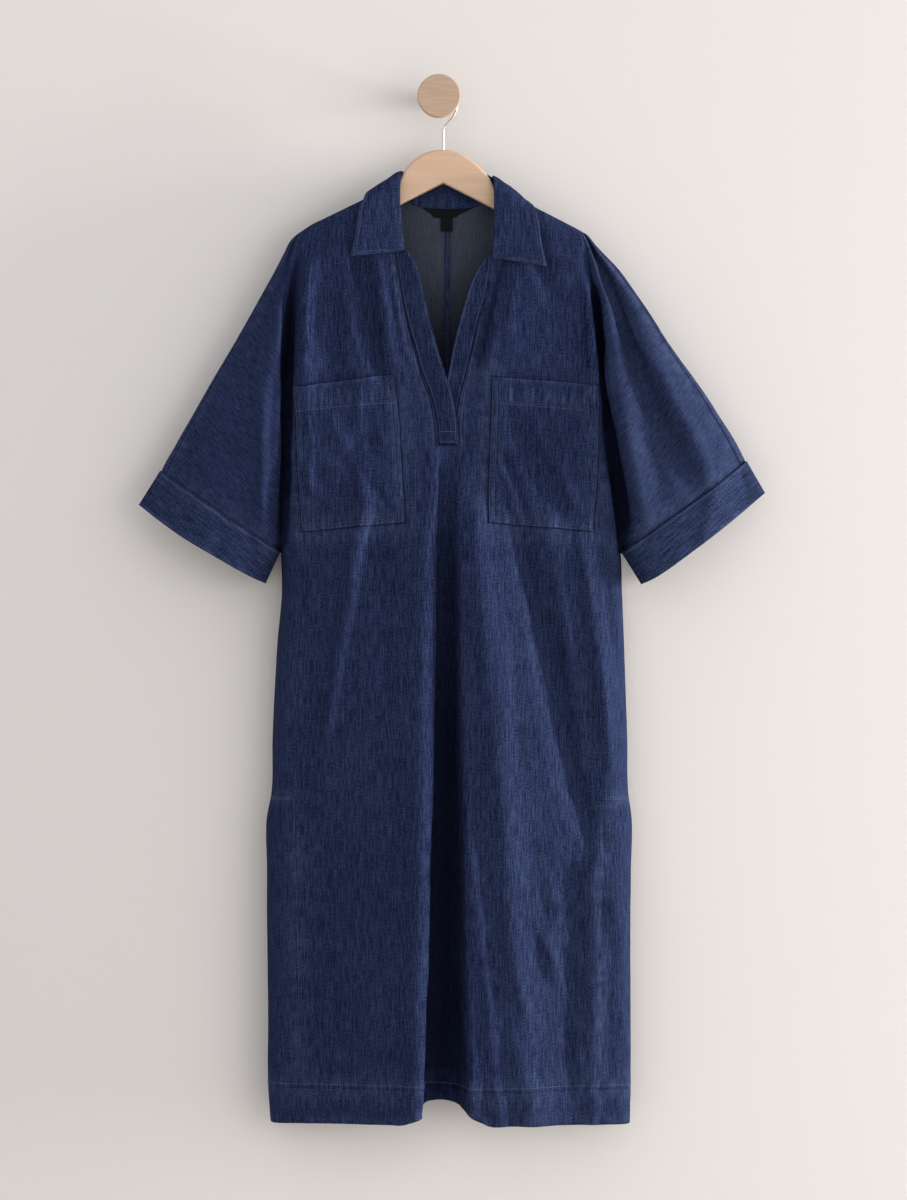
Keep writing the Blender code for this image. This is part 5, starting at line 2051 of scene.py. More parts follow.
class BackPanel:
    """Half of the back, cut in one with its sleeve, to the centre-back seam."""

    def __init__(self, side: int) -> None:
        """Lays out the coarse net.

        Args:
            side: -1 for the viewer's left, 1 for the right.
        """
        self.side = side
        self.halves = LEFT if side < 0 else RIGHT
        self.net = [self.level(index) for index in range(len(self.halves))]
        last = 4 + BACK_CELLS + 3
        facing = [(SLIT, 4.0), (SLIT, BACK_FACING), (22, BACK_FACING), (HEM, BACK_FACING)]
        # Where six numbers are given, the last is how dark the ditch is painted: partly unworn dye, partly
        # painted shade.
        self.lines = [
            self.line("hem", along_level(HEM, 4, last), 1.5, 24, 0.6, 0.6),
            self.line("centre_seam", down_column(last - 0.02, 0, 26), 0.45, 16),
            self.line("facing", facing, 0.5, 16),
            self.line("cuff", along_level(14.0, 0, 4), 0.7, 24),
            self.line("overarm", down_column(0.12, 1, 14), 0.3, 12),
        ]

    line = FrontPanel.line

    def level(self, index: int) -> Row:
        """One level of the back, from its overarm to its centre, without folds.

        Args:
            index: The level's number.

        Returns:
            Its points; None where there is no cloth.
        """
        half, depth, front, halves = self.halves[index], BACK_DEPTH[index], FRONT_DEPTH[index], self.halves
        row: Row = []
        if index <= ROW["underarm"]:
            for across, full in list(zip(BACK_ACROSS, BACK_ROUND))[:0:-1]:
                base = mix(depth.side - side_gap(index), front.over - SEAM_HALF, across)
                x = mix(half.side_x, half.over_x, across)
                z = mix(half.side_z, half.over_z, across)
                row.append(place(x, mix(base, depth.sleeve, full if index else 0), z))
        else:
            row += [None] * (len(BACK_ACROSS) - 1)
        neck_x = NECK_X[self.side]
        neck = [(x, halves[0].edge_z - drop) for x, drop in zip(neck_x, NECK_DROP[self.side])]
        sink = halves[0].edge_z - half.edge_z
        lift = BACK_HEM_LIFT if index == len(halves) - 1 else 0.0
        for cell in range(BACK_CELLS + 1):
            t = cell / BACK_CELLS
            x = mix(half.side_x, neck_x[0], t)
            near = (x - half.side_x) / (half.inner_x - half.side_x)
            if abs(near) < 1:
                line = mix(half.side_z, half.inner_z, near)
            else:
                past = (x - half.inner_x) / (half.edge_x - half.inner_x)
                line = mix(half.inner_z, half.edge_z, min(1.0, past))
            z = line if index < 3 else mix(half.side_z, line, 1.0 if depth.curve > 0.2 else 0.5)
            side_d = depth.side - side_gap(index)
            flat_z = z + lift * ease(t * 3)
            row.append(place(x, swell(side_d, depth.middle, depth.neck, t), flat_z))
        for (x, curved), t in zip(neck[1:], (0.62, 0.82, 1.0)):
            flat = flat_z if index > 3 else half.edge_z - 6
            top = curved - sink * (0.6 if index < 3 else 0.8)
            z = mix(flat, top, depth.curve) if index else curved
            row.append(place(x, mix(depth.neck, depth.centre, t), z))
        return row

    def large(self, level: float, column: float, point: Vector) -> Vector:
        """Adds the large folds to a point.

        Args:
            level: The place's level.
            column: Its column.
            point: The place.

        Returns:
            The raised place.
        """
        held = ease((level - 4) / 1.5) * ease((column - 4.5) / 1.2)
        lift = held * fold_lift(BACK_FOLDS, point.x / MM, point.z / MM)
        return point + Vector((0, -lift * MM, 0))

    def small(self, level: float, column: float, point: Vector) -> float:
        """The creases and unevenness of a place.

        Args:
            level: The place's level.
            column: Its column.
            point: The place.

        Returns:
            The lift in millimetres.
        """
        x, z = point.x / MM, point.z / MM
        edge = ease((level - 0.3) / 1.2)
        if column < 4:
            edge *= ease(column * 1.5)
        lift = crease_lift(BACK_CREASES, x, z) + 0.9 * rumple(x, z, 21.0 + self.side)
        last = len(self.net[0]) - 1
        return edge * lift * ease((last - column) * 1.5) + seam_lift(self.lines, x, z) * edge

    def uv(self, patch: int, column: float, point: Vector) -> Pair:
        """The cloth's own place.

        Args:
            patch: The patch that the face belongs to.
            column: Its column; not used.
            point: The place.

        Returns:
            The place on the flat cloth, in metres.
        """
        if patch:
            along_x, along_z = FrontPanel.GRAIN[self.side]
            across = self.side * (point.x * along_z - point.z * along_x)
            return (across + 5.0, point.x * along_x + point.z * along_z)
        return (point.x + 3.0, point.z)


@dataclass
class Dress:
    """The whole garment, sewn from its panels."""

    tailor: Tailor
    needle: Needle = field(default_factory=Needle)
    row_step: float = 6.6
    pieces: dict[str, bpy.types.Object] = field(default_factory=dict)
    surfaces: dict[str, Surface] = field(default_factory=dict)

    def build(self) -> None:
        """Builds every piece of cloth, in the order that they are sewn."""
        self.front = FrontPanel()
        self.backs = {-1: BackPanel(-1), 1: BackPanel(1)}
        self.build_front()
        for side in (-1, 1):
            self.build_back(side)
        self.build_pockets()
        self.build_plackets()
        self.build_collar()
        for side in (-1, 1):
            self.build_cuff(side)
        self.build_labels()
        self.build_centre_tape()
        self.sew()
        self.declare()

    def cloth(
        self, name: str, bm: bmesh.types.BMesh, look: Look, wall: float, inside: Look = Look.REVERSE
    ) -> None:
        """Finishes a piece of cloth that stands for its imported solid.

        Args:
            name: The solid.
            bm: The piece's single layer, which is used up.
            look: Its finish outside.
            wall: Its thickness, in millimetres.
            inside: Its finish inside.
        """
        self.pieces[name] = self.tailor.finish(name + "_cloth", bm, look, name, [name], wall, inside)

    # ------------------------------------------------------------ panels
    def build_front(self) -> None:
        """The front panel and its sleeves."""
        front = self.front
        half = [5] * 5 + [3, 3, 3] + [3] * POCKET_CELLS + [4, 4] + [4, 4, 4]
        foot = float(ROW["underarm"])
        close = [foot - gap for gap in (0.03, 0.07, 0.11, 0.15, 0.20)]
        close += [25 + gap for gap in (-0.045, -0.02, 0.02, 0.045)]
        levels = sorted({*finer(front.net, 12, self.row_step), *close})
        beside = [0.14, 0.22, 0.30, 17.75, 17.82, 17.90, 17.96]
        facings = [8.40, 8.5, 8.60, 33.60, 33.7, 33.80]
        beside += [LAST - column for column in beside]
        columns = sorted({*split_columns(half + half[::-1]), *beside, *facings})
        fine = front.surface(levels, columns)

        def lift(level: float, column: float, point: Vector) -> float:
            """How far a place is raised by its creases and seams.

            Args:
                level: The place's level.
                column: Its column.
                point: The place.

            Returns:
                The lift in millimetres.
            """
            inside = front.under_pocket(level, column)
            return mix(front.small(level, column, point), -0.5, inside)

        fine.raised(Facing.ROOM, lift)
        self.surfaces["front"] = fine

        def fade(level: float, column: float, point: Vector) -> float:
            """How worn a place is, with painted shade in the pleat, in the creases by the armholes and on the
            lower left skirt, and painted light on the right sleeve and the right body.

            Args:
                level: The place's level.
                column: Its column.
                point: The place.

            Returns:
                From -1 for unworn dye and painted shade to 1 for the palest wear and painted light.
            """
            worn = seam_fade(front.lines, point.x / MM, point.z / MM)
            near = min(column, LAST - column)
            rim = 1 - ease(near / 0.25)
            # Painted shade: the pleat's inside is darkened, most where it lies deepest.
            painted_shade_and_unworn_dye = 0.0
            if PLEAT_FROM < column < PLEAT_TO:
                painted_shade_and_unworn_dye = 0.85 * table_at([0.0, *PLEAT_IN, 0.0], column - PLEAT_FROM) * ease((level - 12) / 7)
            # Painted shade: a dark band along the crease between each sleeve and the body.
            wide = 0.35 if near > SIDE else 0.60 if column < 21 else 0.75
            armhole_painted_shade = bell(near - SIDE, wide) * ease((level - 3) / 2) * ease((foot + 1.2 - level) / 1.0)
            painted_shade_and_unworn_dye = max(painted_shade_and_unworn_dye, armhole_painted_shade)
            # Painted light: the right sleeve and the right body below it are paler.
            base = 0.28 * ease((column - 36.5) / 1.5)
            if level > 13 and 25 < column < 36:
                base += 0.14 * ease((column - 25) / 3) * ease((level - 13) / 2)
            # Painted shade: the lower left skirt is darker.
            if level > 17 and column < 18:
                base -= 0.13 * ease((18 - column) / 1.5) * ease((level - 17) / 4)
            return worn - painted_shade_and_unworn_dye if worn < 0 or painted_shade_and_unworn_dye > 0.05 else max(worn, rim * 0.7) + base

        def patch(middle: float) -> int:
            """The patch of a face: a sleeve or the body."""
            return -1 if middle < 6 else 1 if middle > 36 else 0

        bm = self.tailor.sheet_mesh(fine, Facing.ROOM, front.uv, fade, patch)
        self.cloth("front", bm, Look.DENIM, CLOTH_WALL)

    def build_back(self, side: int) -> None:
        """One half of the back.

        Args:
            side: -1 for the viewer's left, 1 for the right.
        """
        back = self.backs[side]
        name = "back_left" if side < 0 else "back_right"
        levels = sorted({*finer(back.net, 8, self.row_step * 1.25), 24.955, 24.98, 25.02, 25.045})
        columns = split_columns([7, 7, 7, 4] + [5] * BACK_CELLS + [4, 3, 3])
        fine = Surface.of(back.net, levels, columns).move(back.large)
        fine.raised(Facing.WALL, back.small)
        self.surfaces[name] = fine

        def fade(level: float, column: float, point: Vector) -> float:
            """How worn a place is.

            Args:
                level: The place's level; not used.
                column: Its column; not used.
                point: The place.

            Returns:
                From -1 for unworn dye and painted shade in the seams to 1 for the palest wear.
            """
            return seam_fade(back.lines, point.x / MM, point.z / MM)

        def patch(middle: float) -> int:
            """The patch of a face: the sleeve or the body."""
            return side if middle < 4 else 0

        bm = self.tailor.sheet_mesh(fine, Facing.WALL, back.uv, fade, patch)
        self.cloth(name, bm, Look.DENIM, CLOTH_WALL)

    # ----------------------------------------------------------- pockets
    def build_pockets(self) -> None:
        """The two patch pockets, each with its double-turned top."""
        front = self.front
        top, foot = ROW["pocket_top"], ROW["pocket_foot"]
        for (name, first, last), seed in zip(POCKETS, (31.0, 47.0)):
            band = [top + gap for gap in (0.015, 0.04)]
            band += [top + BAND_LEVEL + gap for gap in (-0.04, 0.0, 0.04, 0.08, 0.12)]
            band += [foot - inset * POCKET_LEVEL for inset in POCKET_INSETS]
            levels = sorted(level for level in {*finer(front.net, 12, 3.6), *band} if top <= level <= foot)
            insets = [first + inset for inset in POCKET_INSETS] + [last - inset for inset in POCKET_INSETS]
            columns = sorted({*spaced(float(first), float(last), 81), *insets})
            fine = front.surface(levels, columns)

            def stitched(level: float, column: float) -> float:
                """How near a place is to the pocket's two rows of stitches.

                Args:
                    level: The place's level.
                    column: Its column.

                Returns:
                    A share, 1 in the middle of a row.
                """
                inside = min(column - first, last - column, (foot - level) / POCKET_LEVEL)
                return max(bell(inside - line, 0.05) for line in POCKET_STITCH)

            def ticks(level: float, point: Vector) -> float:
                """The pale upright ticks near the pocket's seams.

                Args:
                    level: The place's level.
                    point: The place.

                Returns:
                    A share, 0 where there are none.
                """
                near = max(1 - ease((foot - level) / 0.42), 1 - ease(abs(level - top - 0.75) / 0.5))
                return near * max(0.0, rough(point.x / MM * 0.17, point.z / MM * 0.012, seed) + 0.15)

            def lift(level: float, column: float, point: Vector) -> float:
                """How far a place is raised by its creases and seams.

                Args:
                    level: The place's level.
                    column: Its column.
                    point: The place.

                Returns:
                    The lift in millimetres.
                """
                near = min(column - first, last - column)
                x, z = point.x / MM, point.z / MM
                held = ease(near * 1.2) * ease((foot - level) * 1.2)
                mouth = 1 - ease((level - top) / 1.1)
                lie = 1.7 + 1.2 * held + 1.7 * mouth * ease(near * 0.8)
                small = 1.4 * crease_lift(FRONT_CREASES, x, z) + rumple(x, z, 3.0)
                small += 0.8 * rumple(x * 2.1, z * 1.2, seed)
                band = 0.6 * ease((top + BAND_LEVEL + 0.06 - level) * 14)
                band -= 0.45 * bell(level - top - BAND_LEVEL, 0.03)
                seams = seam_lift(front.lines, x, z) * 0.9 - 0.5 * stitched(level, column)
                seams += 1.1 * ticks(level, point)
                return lie + band + small * mix(0.35, 1.0, held) + seams

            fine.raised(Facing.ROOM, lift)
            self.surfaces[name] = fine

            def fade(level: float, column: float, point: Vector) -> float:
                """How worn a place is, with a painted shadow line round its rim and painted shade in its
                stitch rows.

                Args:
                    level: The place's level.
                    column: Its column.
                    point: The place.

                Returns:
                    From -1 for painted shade and unworn dye to 1 for the palest wear.
                """
                worn = seam_fade(front.lines, point.x / MM, point.z / MM)
                near = min(column - first, last - column, (foot - level) * 3.3, (level - top) * 3.3)
                # Painted shadow: a dark line round the pocket's edges.
                if near < 0.05:
                    return -0.75
                sewn = max(stitched(level, column), bell(level - top - BAND_LEVEL, 0.03))
                spots = 0.5 + 0.8 * noise.noise(point * 95)
                rim, inner = 0.9 * (1 - ease(near / 0.35)), 0.5 * ease((0.75 - near) * 3) * spots
                pale = max(worn, rim, inner, 2.2 * ticks(level, point))
                # The stitch rows are darkened, partly as unworn dye and partly as painted shade.
                return min(1.0, pale) * (1 - sewn) - 0.6 * sewn

            bm = self.tailor.sheet_mesh(fine, Facing.ROOM, front.uv, fade)
            self.cloth(name, bm, Look.DENIM_TRIM, POCKET_WALL)

    # ---------------------------------------------------------- plackets
    def build_plackets(self) -> None:
        """The two strips of the placket, the left over the right."""
        for name, edges, bow in (("placket_over", OVER_EDGE, 0.7), ("placket_under", UNDER_EDGE, -0.6)):
            net: Net = []
            for edge in edges:
                row: Row = []
                for t in (0.0, 0.33, 0.67, 1.0):
                    x, z = mix(edge.seam_x, edge.free_x, t), mix(edge.seam_z, edge.free_z, t)
                    row.append(place(x, mix(edge.seam_d, edge.free_d, t) + bow * 4 * t * (1 - t), z))
                net.append(row)
            levels = finer(net, 1, 4.0)
            columns = sorted({*spaced(0.0, 3.0, 13), 0.05, 0.11, 2.9, 2.95})
            fine = Surface.of(net, levels, columns)
            foot = float(len(net) - 1)

            def lift(level: float, column: float, point: Vector) -> float:
                """How far a place is raised by its creases and seams.

                Args:
                    level: The place's level.
                    column: Its column.
                    point: The place.

                Returns:
                    The lift in millimetres.
                """
                x, z = point.x / MM, point.z / MM
                ends = ease(level * 2) * ease((foot - level) * 2 + 0.2)
                ditch = sum(bell(column - c, 0.16) for c in (0.35, 2.65))
                return ends * (0.7 * rumple(x * 1.6, z * 1.4, 55.0)) - 0.3 * ditch

            fine.raised(Facing.ROOM, lift)
            self.surfaces[name] = fine

            def fade(level: float, column: float, point: Vector) -> float:
                """How worn a place is, with painted shade along the seam side and over the whole top strip.

                Args:
                    level: The place's level; not used.
                    column: Its column.
                    point: The place.

                Returns:
                    From -1 for painted shade to 1 for the palest wear.
                """
                # Painted shade: a dark line along the seam side of the strip.
                if column < 0.12:
                    return -0.6
                near = min(column, 3 - column)
                # Painted shade: the top strip, which faces away from the light, is darker all over.
                painted_shade = 0.12 if bow > 0 else 0.0
                return (1 - ease(near / 0.45)) * (0.45 + 0.9 * noise.noise(point * 90)) - painted_shade

            bm = self.tailor.sheet_mesh(fine, Facing.ROOM, self.front.uv_flat, fade)
            self.cloth(name, bm, Look.DENIM_TRIM, STRIP_WALL, Look.DENIM_TRIM)

    # ------------------------------------------------------------ collar
    def build_collar(self) -> None:
        """The collar, from its stand over the roll to the points of its leaf."""
        net: Net = []
        for n in COLLAR:
            seam, roll = Vector((n.sx, n.sd, n.sz)), Vector((n.rx, n.rd, n.rz))
            fall = Vector((n.fx, n.fd, n.fz))
            turn = min(3.2, (seam - roll).length * 0.45)
            inside = roll + (seam - roll).normalized() * turn
            outside = roll + (fall - roll).normalized() * turn
            apart = outside - inside
            if apart.length < 3.6:
                push = apart.normalized() * ((3.6 - apart.length) / 2)
                inside, outside = inside - push, outside + push
            path = [seam, seam.lerp(inside, 0.5), inside, roll, outside]
            path += [outside.lerp(fall, t) for t in (0.3, 0.65, 1.0)]
            net.append([place(p.x, p.y, p.z) for p in path])
        self.collar_net = net
        last = len(net) - 1
        levels = finer(net, 6, 3.4)
        columns = sorted({*split_columns([3, 3, 4, 4, 5, 7, 7]), 6.68, 6.72, 6.76})
        levels = sorted({*levels, 0.10, COLLAR_STITCH, 0.16, last - 0.16, last - COLLAR_STITCH, last - 0.10})
        fine = Surface.of(net, levels, columns)

        def lift(level: float, column: float, point: Vector) -> float:
            """How far a place is raised by its creases and seams.

            Args:
                level: The place's level.
                column: Its column.
                point: The place.

            Returns:
                The lift in millimetres.
            """
            x, z = point.x / MM, point.z / MM
            leaf = ease((column - 4.2) / 1.2)
            ends = ease(level * 0.9) * ease((last - level) * 0.9)
            ditch = bell(column - 6.72, 0.05) + bell(level - COLLAR_STITCH, 0.03)
            ditch += bell(last - level - COLLAR_STITCH, 0.03)
            return leaf * (0.9 * rumple(x * 1.5, z * 1.5, 71.0) * mix(0.4, 1.0, ends) - 0.3 * ditch)

        fine.raised(Facing.ROOM, lift)
        self.surfaces["collar"] = fine

        def fade(level: float, column: float, point: Vector) -> float:
            """How worn a place is, with painted light towards the right and painted shade in the stitch line.

            Args:
                level: The place's level.
                column: Its column.
                point: The place.

            Returns:
                From -1 for painted shade and unworn dye to 1 for the palest wear and painted light.
            """
            end, leaf = min(level, last - level), ease(column - 4)
            rim = max(1 - ease((7 - column) / 0.35), (1 - ease(end / 0.2)) * leaf)
            roll = bell(column - 3.6, 0.5) * 0.5
            sewn = max(bell(column - 6.72, 0.03), bell(end - COLLAR_STITCH, 0.02) * leaf)
            # An even wear, with painted light that makes the collar paler towards the viewer's right.
            base = 0.06 + 0.16 * ease((point.x / MM - 60) / 60)
            worn = max(rim, roll) * (0.5 + 0.8 * noise.noise(point * 110))
            # The stitch line is darkened, partly as unworn dye and partly as painted shade.
            return min(1.0, max(worn, 0.0) + base) * (1 - sewn) - 0.5 * sewn

        def uv(patch: int, column: float, point: Vector) -> Pair:
            """The cloth's own place.

            Args:
                patch: The patch that the face belongs to.
                column: Its column; not used.
                point: The place.

            Returns:
                The place on the flat cloth, in metres.
            """
            return (point.z + point.y + 8.0, point.x) if patch else (point.x + 8.0, point.z)

        bm = self.tailor.sheet_mesh(fine, Facing.ROOM, uv, fade)
        bmesh.ops.recalc_face_normals(bm, faces=bm.faces[:])
        self.cloth("collar", bm, Look.DENIM_TRIM, COLLAR_WALL, Look.DENIM_TRIM)

    # ------------------------------------------------------------- cuffs
    def build_cuff(self, side: int) -> None:
        """One cuff: a turned-up band on the sleeve's end.

        Args:
            side: -1 for the viewer's left, 1 for the right.
        """
        name = "cuff_left" if side < 0 else "cuff_right"
        foot = float(ROW["underarm"])
        front_row = self.row_of("front", foot, 0.0, 6.0, side > 0)
        back_row = self.row_of("back_left" if side < 0 else "back_right", foot, 0.0, 4.0, False)
        ends = [place(m.x, 0, m.z) for m in (LEFT_MOUTH if side < 0 else RIGHT_MOUTH)]
        outer, inner = (front_row[0] + back_row[0]) / 2, (front_row[-1] + back_row[-1]) / 2
        inner = inner + (outer - inner).normalized() * 3.0 * MM
        loop: list[Vector] = []
        shares: list[float] = []
        for points, sign in ((front_row, -1.0), (back_row[::-1], 1.0)):
            count = len(points)
            for index, point in enumerate(points):
                t = index / (count - 1) if sign < 0 else 1 - index / (count - 1)
                if index in (0, count - 1):
                    corner = outer + (outer - inner).normalized() * 1.2 * MM if t < 0.5 else inner
                    loop.append(corner + Vector((0, sign * 3.0 * MM, 0)))
                else:
                    loop.append(point + Vector((0, sign * 1.5 * MM, 0)))
                shares.append(t * sign)
        mouth = Strand(ends)
        steps = [0.0, 0.012, 0.03, 0.05, 0.07, 0.10, 0.15] + spaced(0.22, 0.94, 11) + [0.97, 1.0]
        rings: Net = []
        for step in steps:
            ring: Row = []
            for point, share in zip(loop, shares):
                t = abs(share)
                end = mouth.at(t * (len(ends) - 1))
                end = Vector((end.x, point.y, end.z))
                bulge = math.sin(math.pi * t)
                if share < 0 or (share == 0 and math.copysign(1, share) < 0):
                    end.y -= CUFF_SAG * bulge * MM
                else:
                    end.y += CUFF_SAG * 0.3 * bulge * MM
                    end.z += 4 * bulge * MM
                gap = -1.6 * MM / max((end - point).length, 1e-6)
                ring.append(point.lerp(end, mix(gap, 1.0, step)))
            ring.append(ring[0].copy())
            rings.append(ring)
        fine = Surface(rings, steps, [float(i) for i in range(len(loop) + 1)])
        middle = sum((p for ring in rings for p in ring[:-1]), Vector()) / (len(steps) * len(loop))
        lengths = [0.0]
        for one, two in zip(rings[0], rings[0][1:]):
            lengths.append(lengths[-1] + (two - one).length)

        def bow(level: float, column: float, point: Vector) -> Vector:
            """Moves a place of the cuff out or in.

            Args:
                level: The place's level.
                column: Its column.
                point: The place.

            Returns:
                The moved place.
            """
            ends_held = ease(min(level, 1 - level) * 4 + 0.35)
            along = lengths[int(column)] / MM
            wave = rough(along * 0.035, level * 1.1, 5.0 + side) * 1.7
            wave += rough(along * 0.13, level * 2.2, 9.0 + side) * 0.8
            ditch = 1.5 * (1 - ease(level / 0.025)) + 0.35 * bell(level - CUFF_STITCH, 0.012)
            out = Vector((0, point.y - middle.y, 0))
            out = out.normalized() if out.length > 1.5 * MM else Vector((0, 0, 0))
            around = 1.0 if 0 < column < len(loop) else 0.0
            return point + out * ((wave * ends_held - ditch) * MM * around)

        fine.move(bow)
        self.surfaces[name] = fine

        def fade(level: float, column: float, point: Vector) -> float:
            """How worn a place is, with painted shade in the seam at its top and painted light on the right
            cuff.

            Args:
                level: The place's level.
                column: Its column; not used.
                point: The place.

            Returns:
                From -1 for painted shade to 1 for the palest wear and painted light.
            """
            # Painted shade: a dark line in the seam where the cuff meets the sleeve.
            if level < 0.011:
                return -1.0
            rim = max(1 - ease((1 - level) / 0.14), 0.9 * (1 - ease(abs(level - 0.04) / 0.10)))
            # An even wear, with painted light that makes the right cuff paler and the left one darker.
            return 0.30 + 0.12 * side + rim * (0.45 + 0.9 * noise.noise(point * 100))

        along_x, along_z = FrontPanel.CUFF_GRAIN[side]

        def uv(patch: int, column: float, point: Vector) -> Pair:
            """The cloth's own place.

            Args:
                patch: The patch that the face belongs to; not used.
                column: Its column; not used.
                point: The place.

            Returns:
                The place on the flat cloth, in metres.
            """
            across = side * (point.x * along_z - point.z * along_x)
            return (across + 6.0, point.x * along_x + point.z * along_z)

        bm = self.tailor.sheet_mesh(fine, Facing.ROOM, uv, fade)
        bmesh.ops.remove_doubles(bm, verts=bm.verts[:], dist=1e-6)
        bmesh.ops.recalc_face_normals(bm, faces=bm.faces[:])
        centre = sum((v.co for v in bm.verts), Vector()) / len(bm.verts)
        outwards = sum(face.normal.dot(face.calc_center_median() - centre) for face in bm.faces)
        if outwards < 0:
            bmesh.ops.reverse_faces(bm, faces=bm.faces[:])
        self.cloth(name, bm, Look.DENIM_TRIM, CUFF_WALL)

    def row_of(self, name: str, level: float, first: float, last: float, from_end: bool) -> list[Vector]:
        """The places along one level of a panel's sleeve.

        Args:
            name: The panel.
            level: The level.
            first: The column at the overarm seam.
            last: The column at the underarm.
            from_end: Whether the columns count back from the panel's far side.

        Returns:
            The points, from the overarm seam to the underarm.
        """
        fine = self.surfaces[name]
        row = min(range(len(fine.levels)), key=lambda i: abs(fine.levels[i] - level))
        end = fine.columns[-1]
        spots = []
        for column, point in zip(fine.columns, fine.points[row]):
            near = end - column if from_end else column
            if point is not None and first - 1e-6 <= near <= last + 1e-6:
                spots.append((near, point.copy()))
        return [point for _, point in sorted(spots, key=lambda s: s[0])]

    # ------------------------------------------------------------ labels
    def back_depth(self, x: float, z: float) -> float:
        """How far the backs stand off the wall at one place.

        Args:
            x: Across, in millimetres.
            z: Up, in millimetres.

        Returns:
            The distance in millimetres.
        """
        for name in ("back_left", "back_right"):
            for nudge in (0.0, -1.5, 1.5, -3.0, 3.0):
                hit = self.tailor.trees[name].ray_cast(place(x + nudge, 200, z), Vector((0, 1, 0)))[0]
                if hit is not None:
                    return -hit.y / MM
        return 30.0

    def build_labels(self) -> None:
        """The neck label and the size tab under it, both left bare."""
        for name in ("back_left", "back_right"):
            self.tailor.trees[name] = tree_of(self.surfaces[name])
        sizes = (
            ("neck_label", LABEL_WIDE_TOP, LABEL_WIDE_FOOT, LABEL_LONG, (13.0, 8.0), -147.0, 1.6, 6.0),
            ("size_tab", TAB_WIDE, TAB_WIDE, TAB_LONG, (10.4, 10.4), -160.0, 2.3, 0.0),
        )
        for name, wide_top, wide_foot, long, middle, top, away, bow in sizes:
            rows: Net = []
            steps, shares = spaced(0.0, 1.0, 8), spaced(-0.5, 0.5, 17)
            for step in steps:
                row: Row = []
                for across in shares:
                    x = mix(*middle, ease(step)) + across * mix(wide_top, wide_foot, ease(step))
                    z = top - long * step + bow * across * across
                    row.append(place(x, self.back_depth(x, z) + away + 0.25 * math.sin(across * 9), z))
                rows.append(row)
            fine = Surface(rows, steps, shares)
            bm = self.tailor.sheet_mesh(fine, Facing.ROOM, self.front.uv_flat, lambda *_: 0.0)
            self.cloth(name, bm, Look.LABEL, LABEL_WALL, Look.LABEL)

    def build_centre_tape(self) -> None:
        """The bound turning of the centre-back seam, which shows inside the neck."""
        rows: Net = []
        steps = spaced(-160.0, -1340.0, 170)
        shares = spaced(8.2, 14.6, 5)
        for z in steps:
            row: Row = []
            for x in shares:
                inner = self.back_depth(x, z)
                row.append(place(x, inner + 1.1 + 0.25 * math.sin(z * 0.11), z))
            rows.append(row)
        fine = Surface(rows, steps, shares)
        bm = self.tailor.sheet_mesh(fine, Facing.ROOM, self.front.uv_flat, lambda *_: 0.35)
        look = Look.DENIM_TRIM
        self.tailor.finish("centre_back_binding", bm, look, "back_left", (), BINDING_WALL, look)

    # ------------------------------------------------------------ stitches
    def sew(self) -> None:
        """Sews the topstitching, one joined mesh for each piece."""
        collar = len(self.collar_net) - 1
        cuff = ROW["underarm"] - 0.14
        plan: dict[str, tuple[Facing, float, list[list[Pair]]]] = {}
        lines = [along_level(SEWN_HEM, SIDE, LAST - SIDE)]
        lines += [down_column(column, 1, 14) for column in (0.26, 41.74)]
        for side, edge in ((-1, 6.05), (1, 35.95)):
            lines += [[(level, edge), (level, FACINGS[side])] for level in (19.05, 19.15)]
            lines.append([(level, FACINGS[side]) for level in spaced(SLIT, SEWN_HEM, 8)])
        lines += [along_level(cuff, 0, SIDE), along_level(cuff, LAST - SIDE, LAST)]
        lines += [[(level, column) for level in spaced(3.2, 11.0, 12)] for column in (17.75, 24.25)]
        plan["front"] = (Facing.ROOM, CLOTH_WALL, lines)
        top, foot = float(ROW["pocket_top"]), ROW["pocket_foot"]
        for name, first, last in POCKETS:
            routes = []
            for inside in POCKET_STITCH:
                route = self.front.pocket_route(first, last, inside)
                routes.append([(min(level, foot - inside * POCKET_LEVEL), column) for level, column in route])
            for level in (top + BAND_LEVEL, top + BAND_LEVEL + 0.08):
                routes.append([(level, column) for column in spaced(first + 0.1, last - 0.1, 9)])
            plan[name] = (Facing.ROOM, POCKET_WALL, routes)
        for name, net in (("placket_over", OVER_EDGE), ("placket_under", UNDER_EDGE)):
            end = float(len(net) - 1)
            routes = [[(level, c) for level in spaced(0.1, end - 0.1, 12)] for c in (0.25, 2.75)]
            if name == "placket_over":
                routes += [[(end - up, c) for c in spaced(0.25, 2.75, 4)] for up in (0.12, 0.55)]
            plan[name] = (Facing.ROOM, STRIP_WALL, routes)
        near, far = COLLAR_STITCH, collar - COLLAR_STITCH
        route = [(near, c) for c in spaced(5.0, 6.75, 5)] + [(level, 6.75) for level in spaced(near, far, 44)]
        plan["collar"] = (Facing.ROOM, COLLAR_WALL, [route + [(far, c) for c in spaced(6.75, 5.0, 5)]])
        for name in ("cuff_left", "cuff_right"):
            last = self.surfaces[name].columns[-1]
            plan[name] = (Facing.ROOM, CUFF_WALL, [[(CUFF_STITCH, c) for c in spaced(0.5, last - 0.5, 60)]])
        for name in ("back_left", "back_right"):
            last = self.surfaces[name].columns[-1]
            plan[name] = (Facing.WALL, CLOTH_WALL, [
                [(SEWN_HEM, c) for c in spaced(4.05, last - 0.05, 14)],
                [(level, last - 0.35) for level in spaced(0.4, 25.9, 40)],
                down_column(0.16, 1, 14),
                [(19.05, 4.1), (19.05, BACK_FACING)],
                [(level, BACK_FACING) for level in spaced(SLIT, SEWN_HEM, 8)],
            ])
        for name, (facing, wall, routes) in plan.items():
            spots: list[Matrix] = []
            for route in routes:
                spots += self.needle.along(self.surfaces[name], route, facing, wall, name.startswith("cuff"))
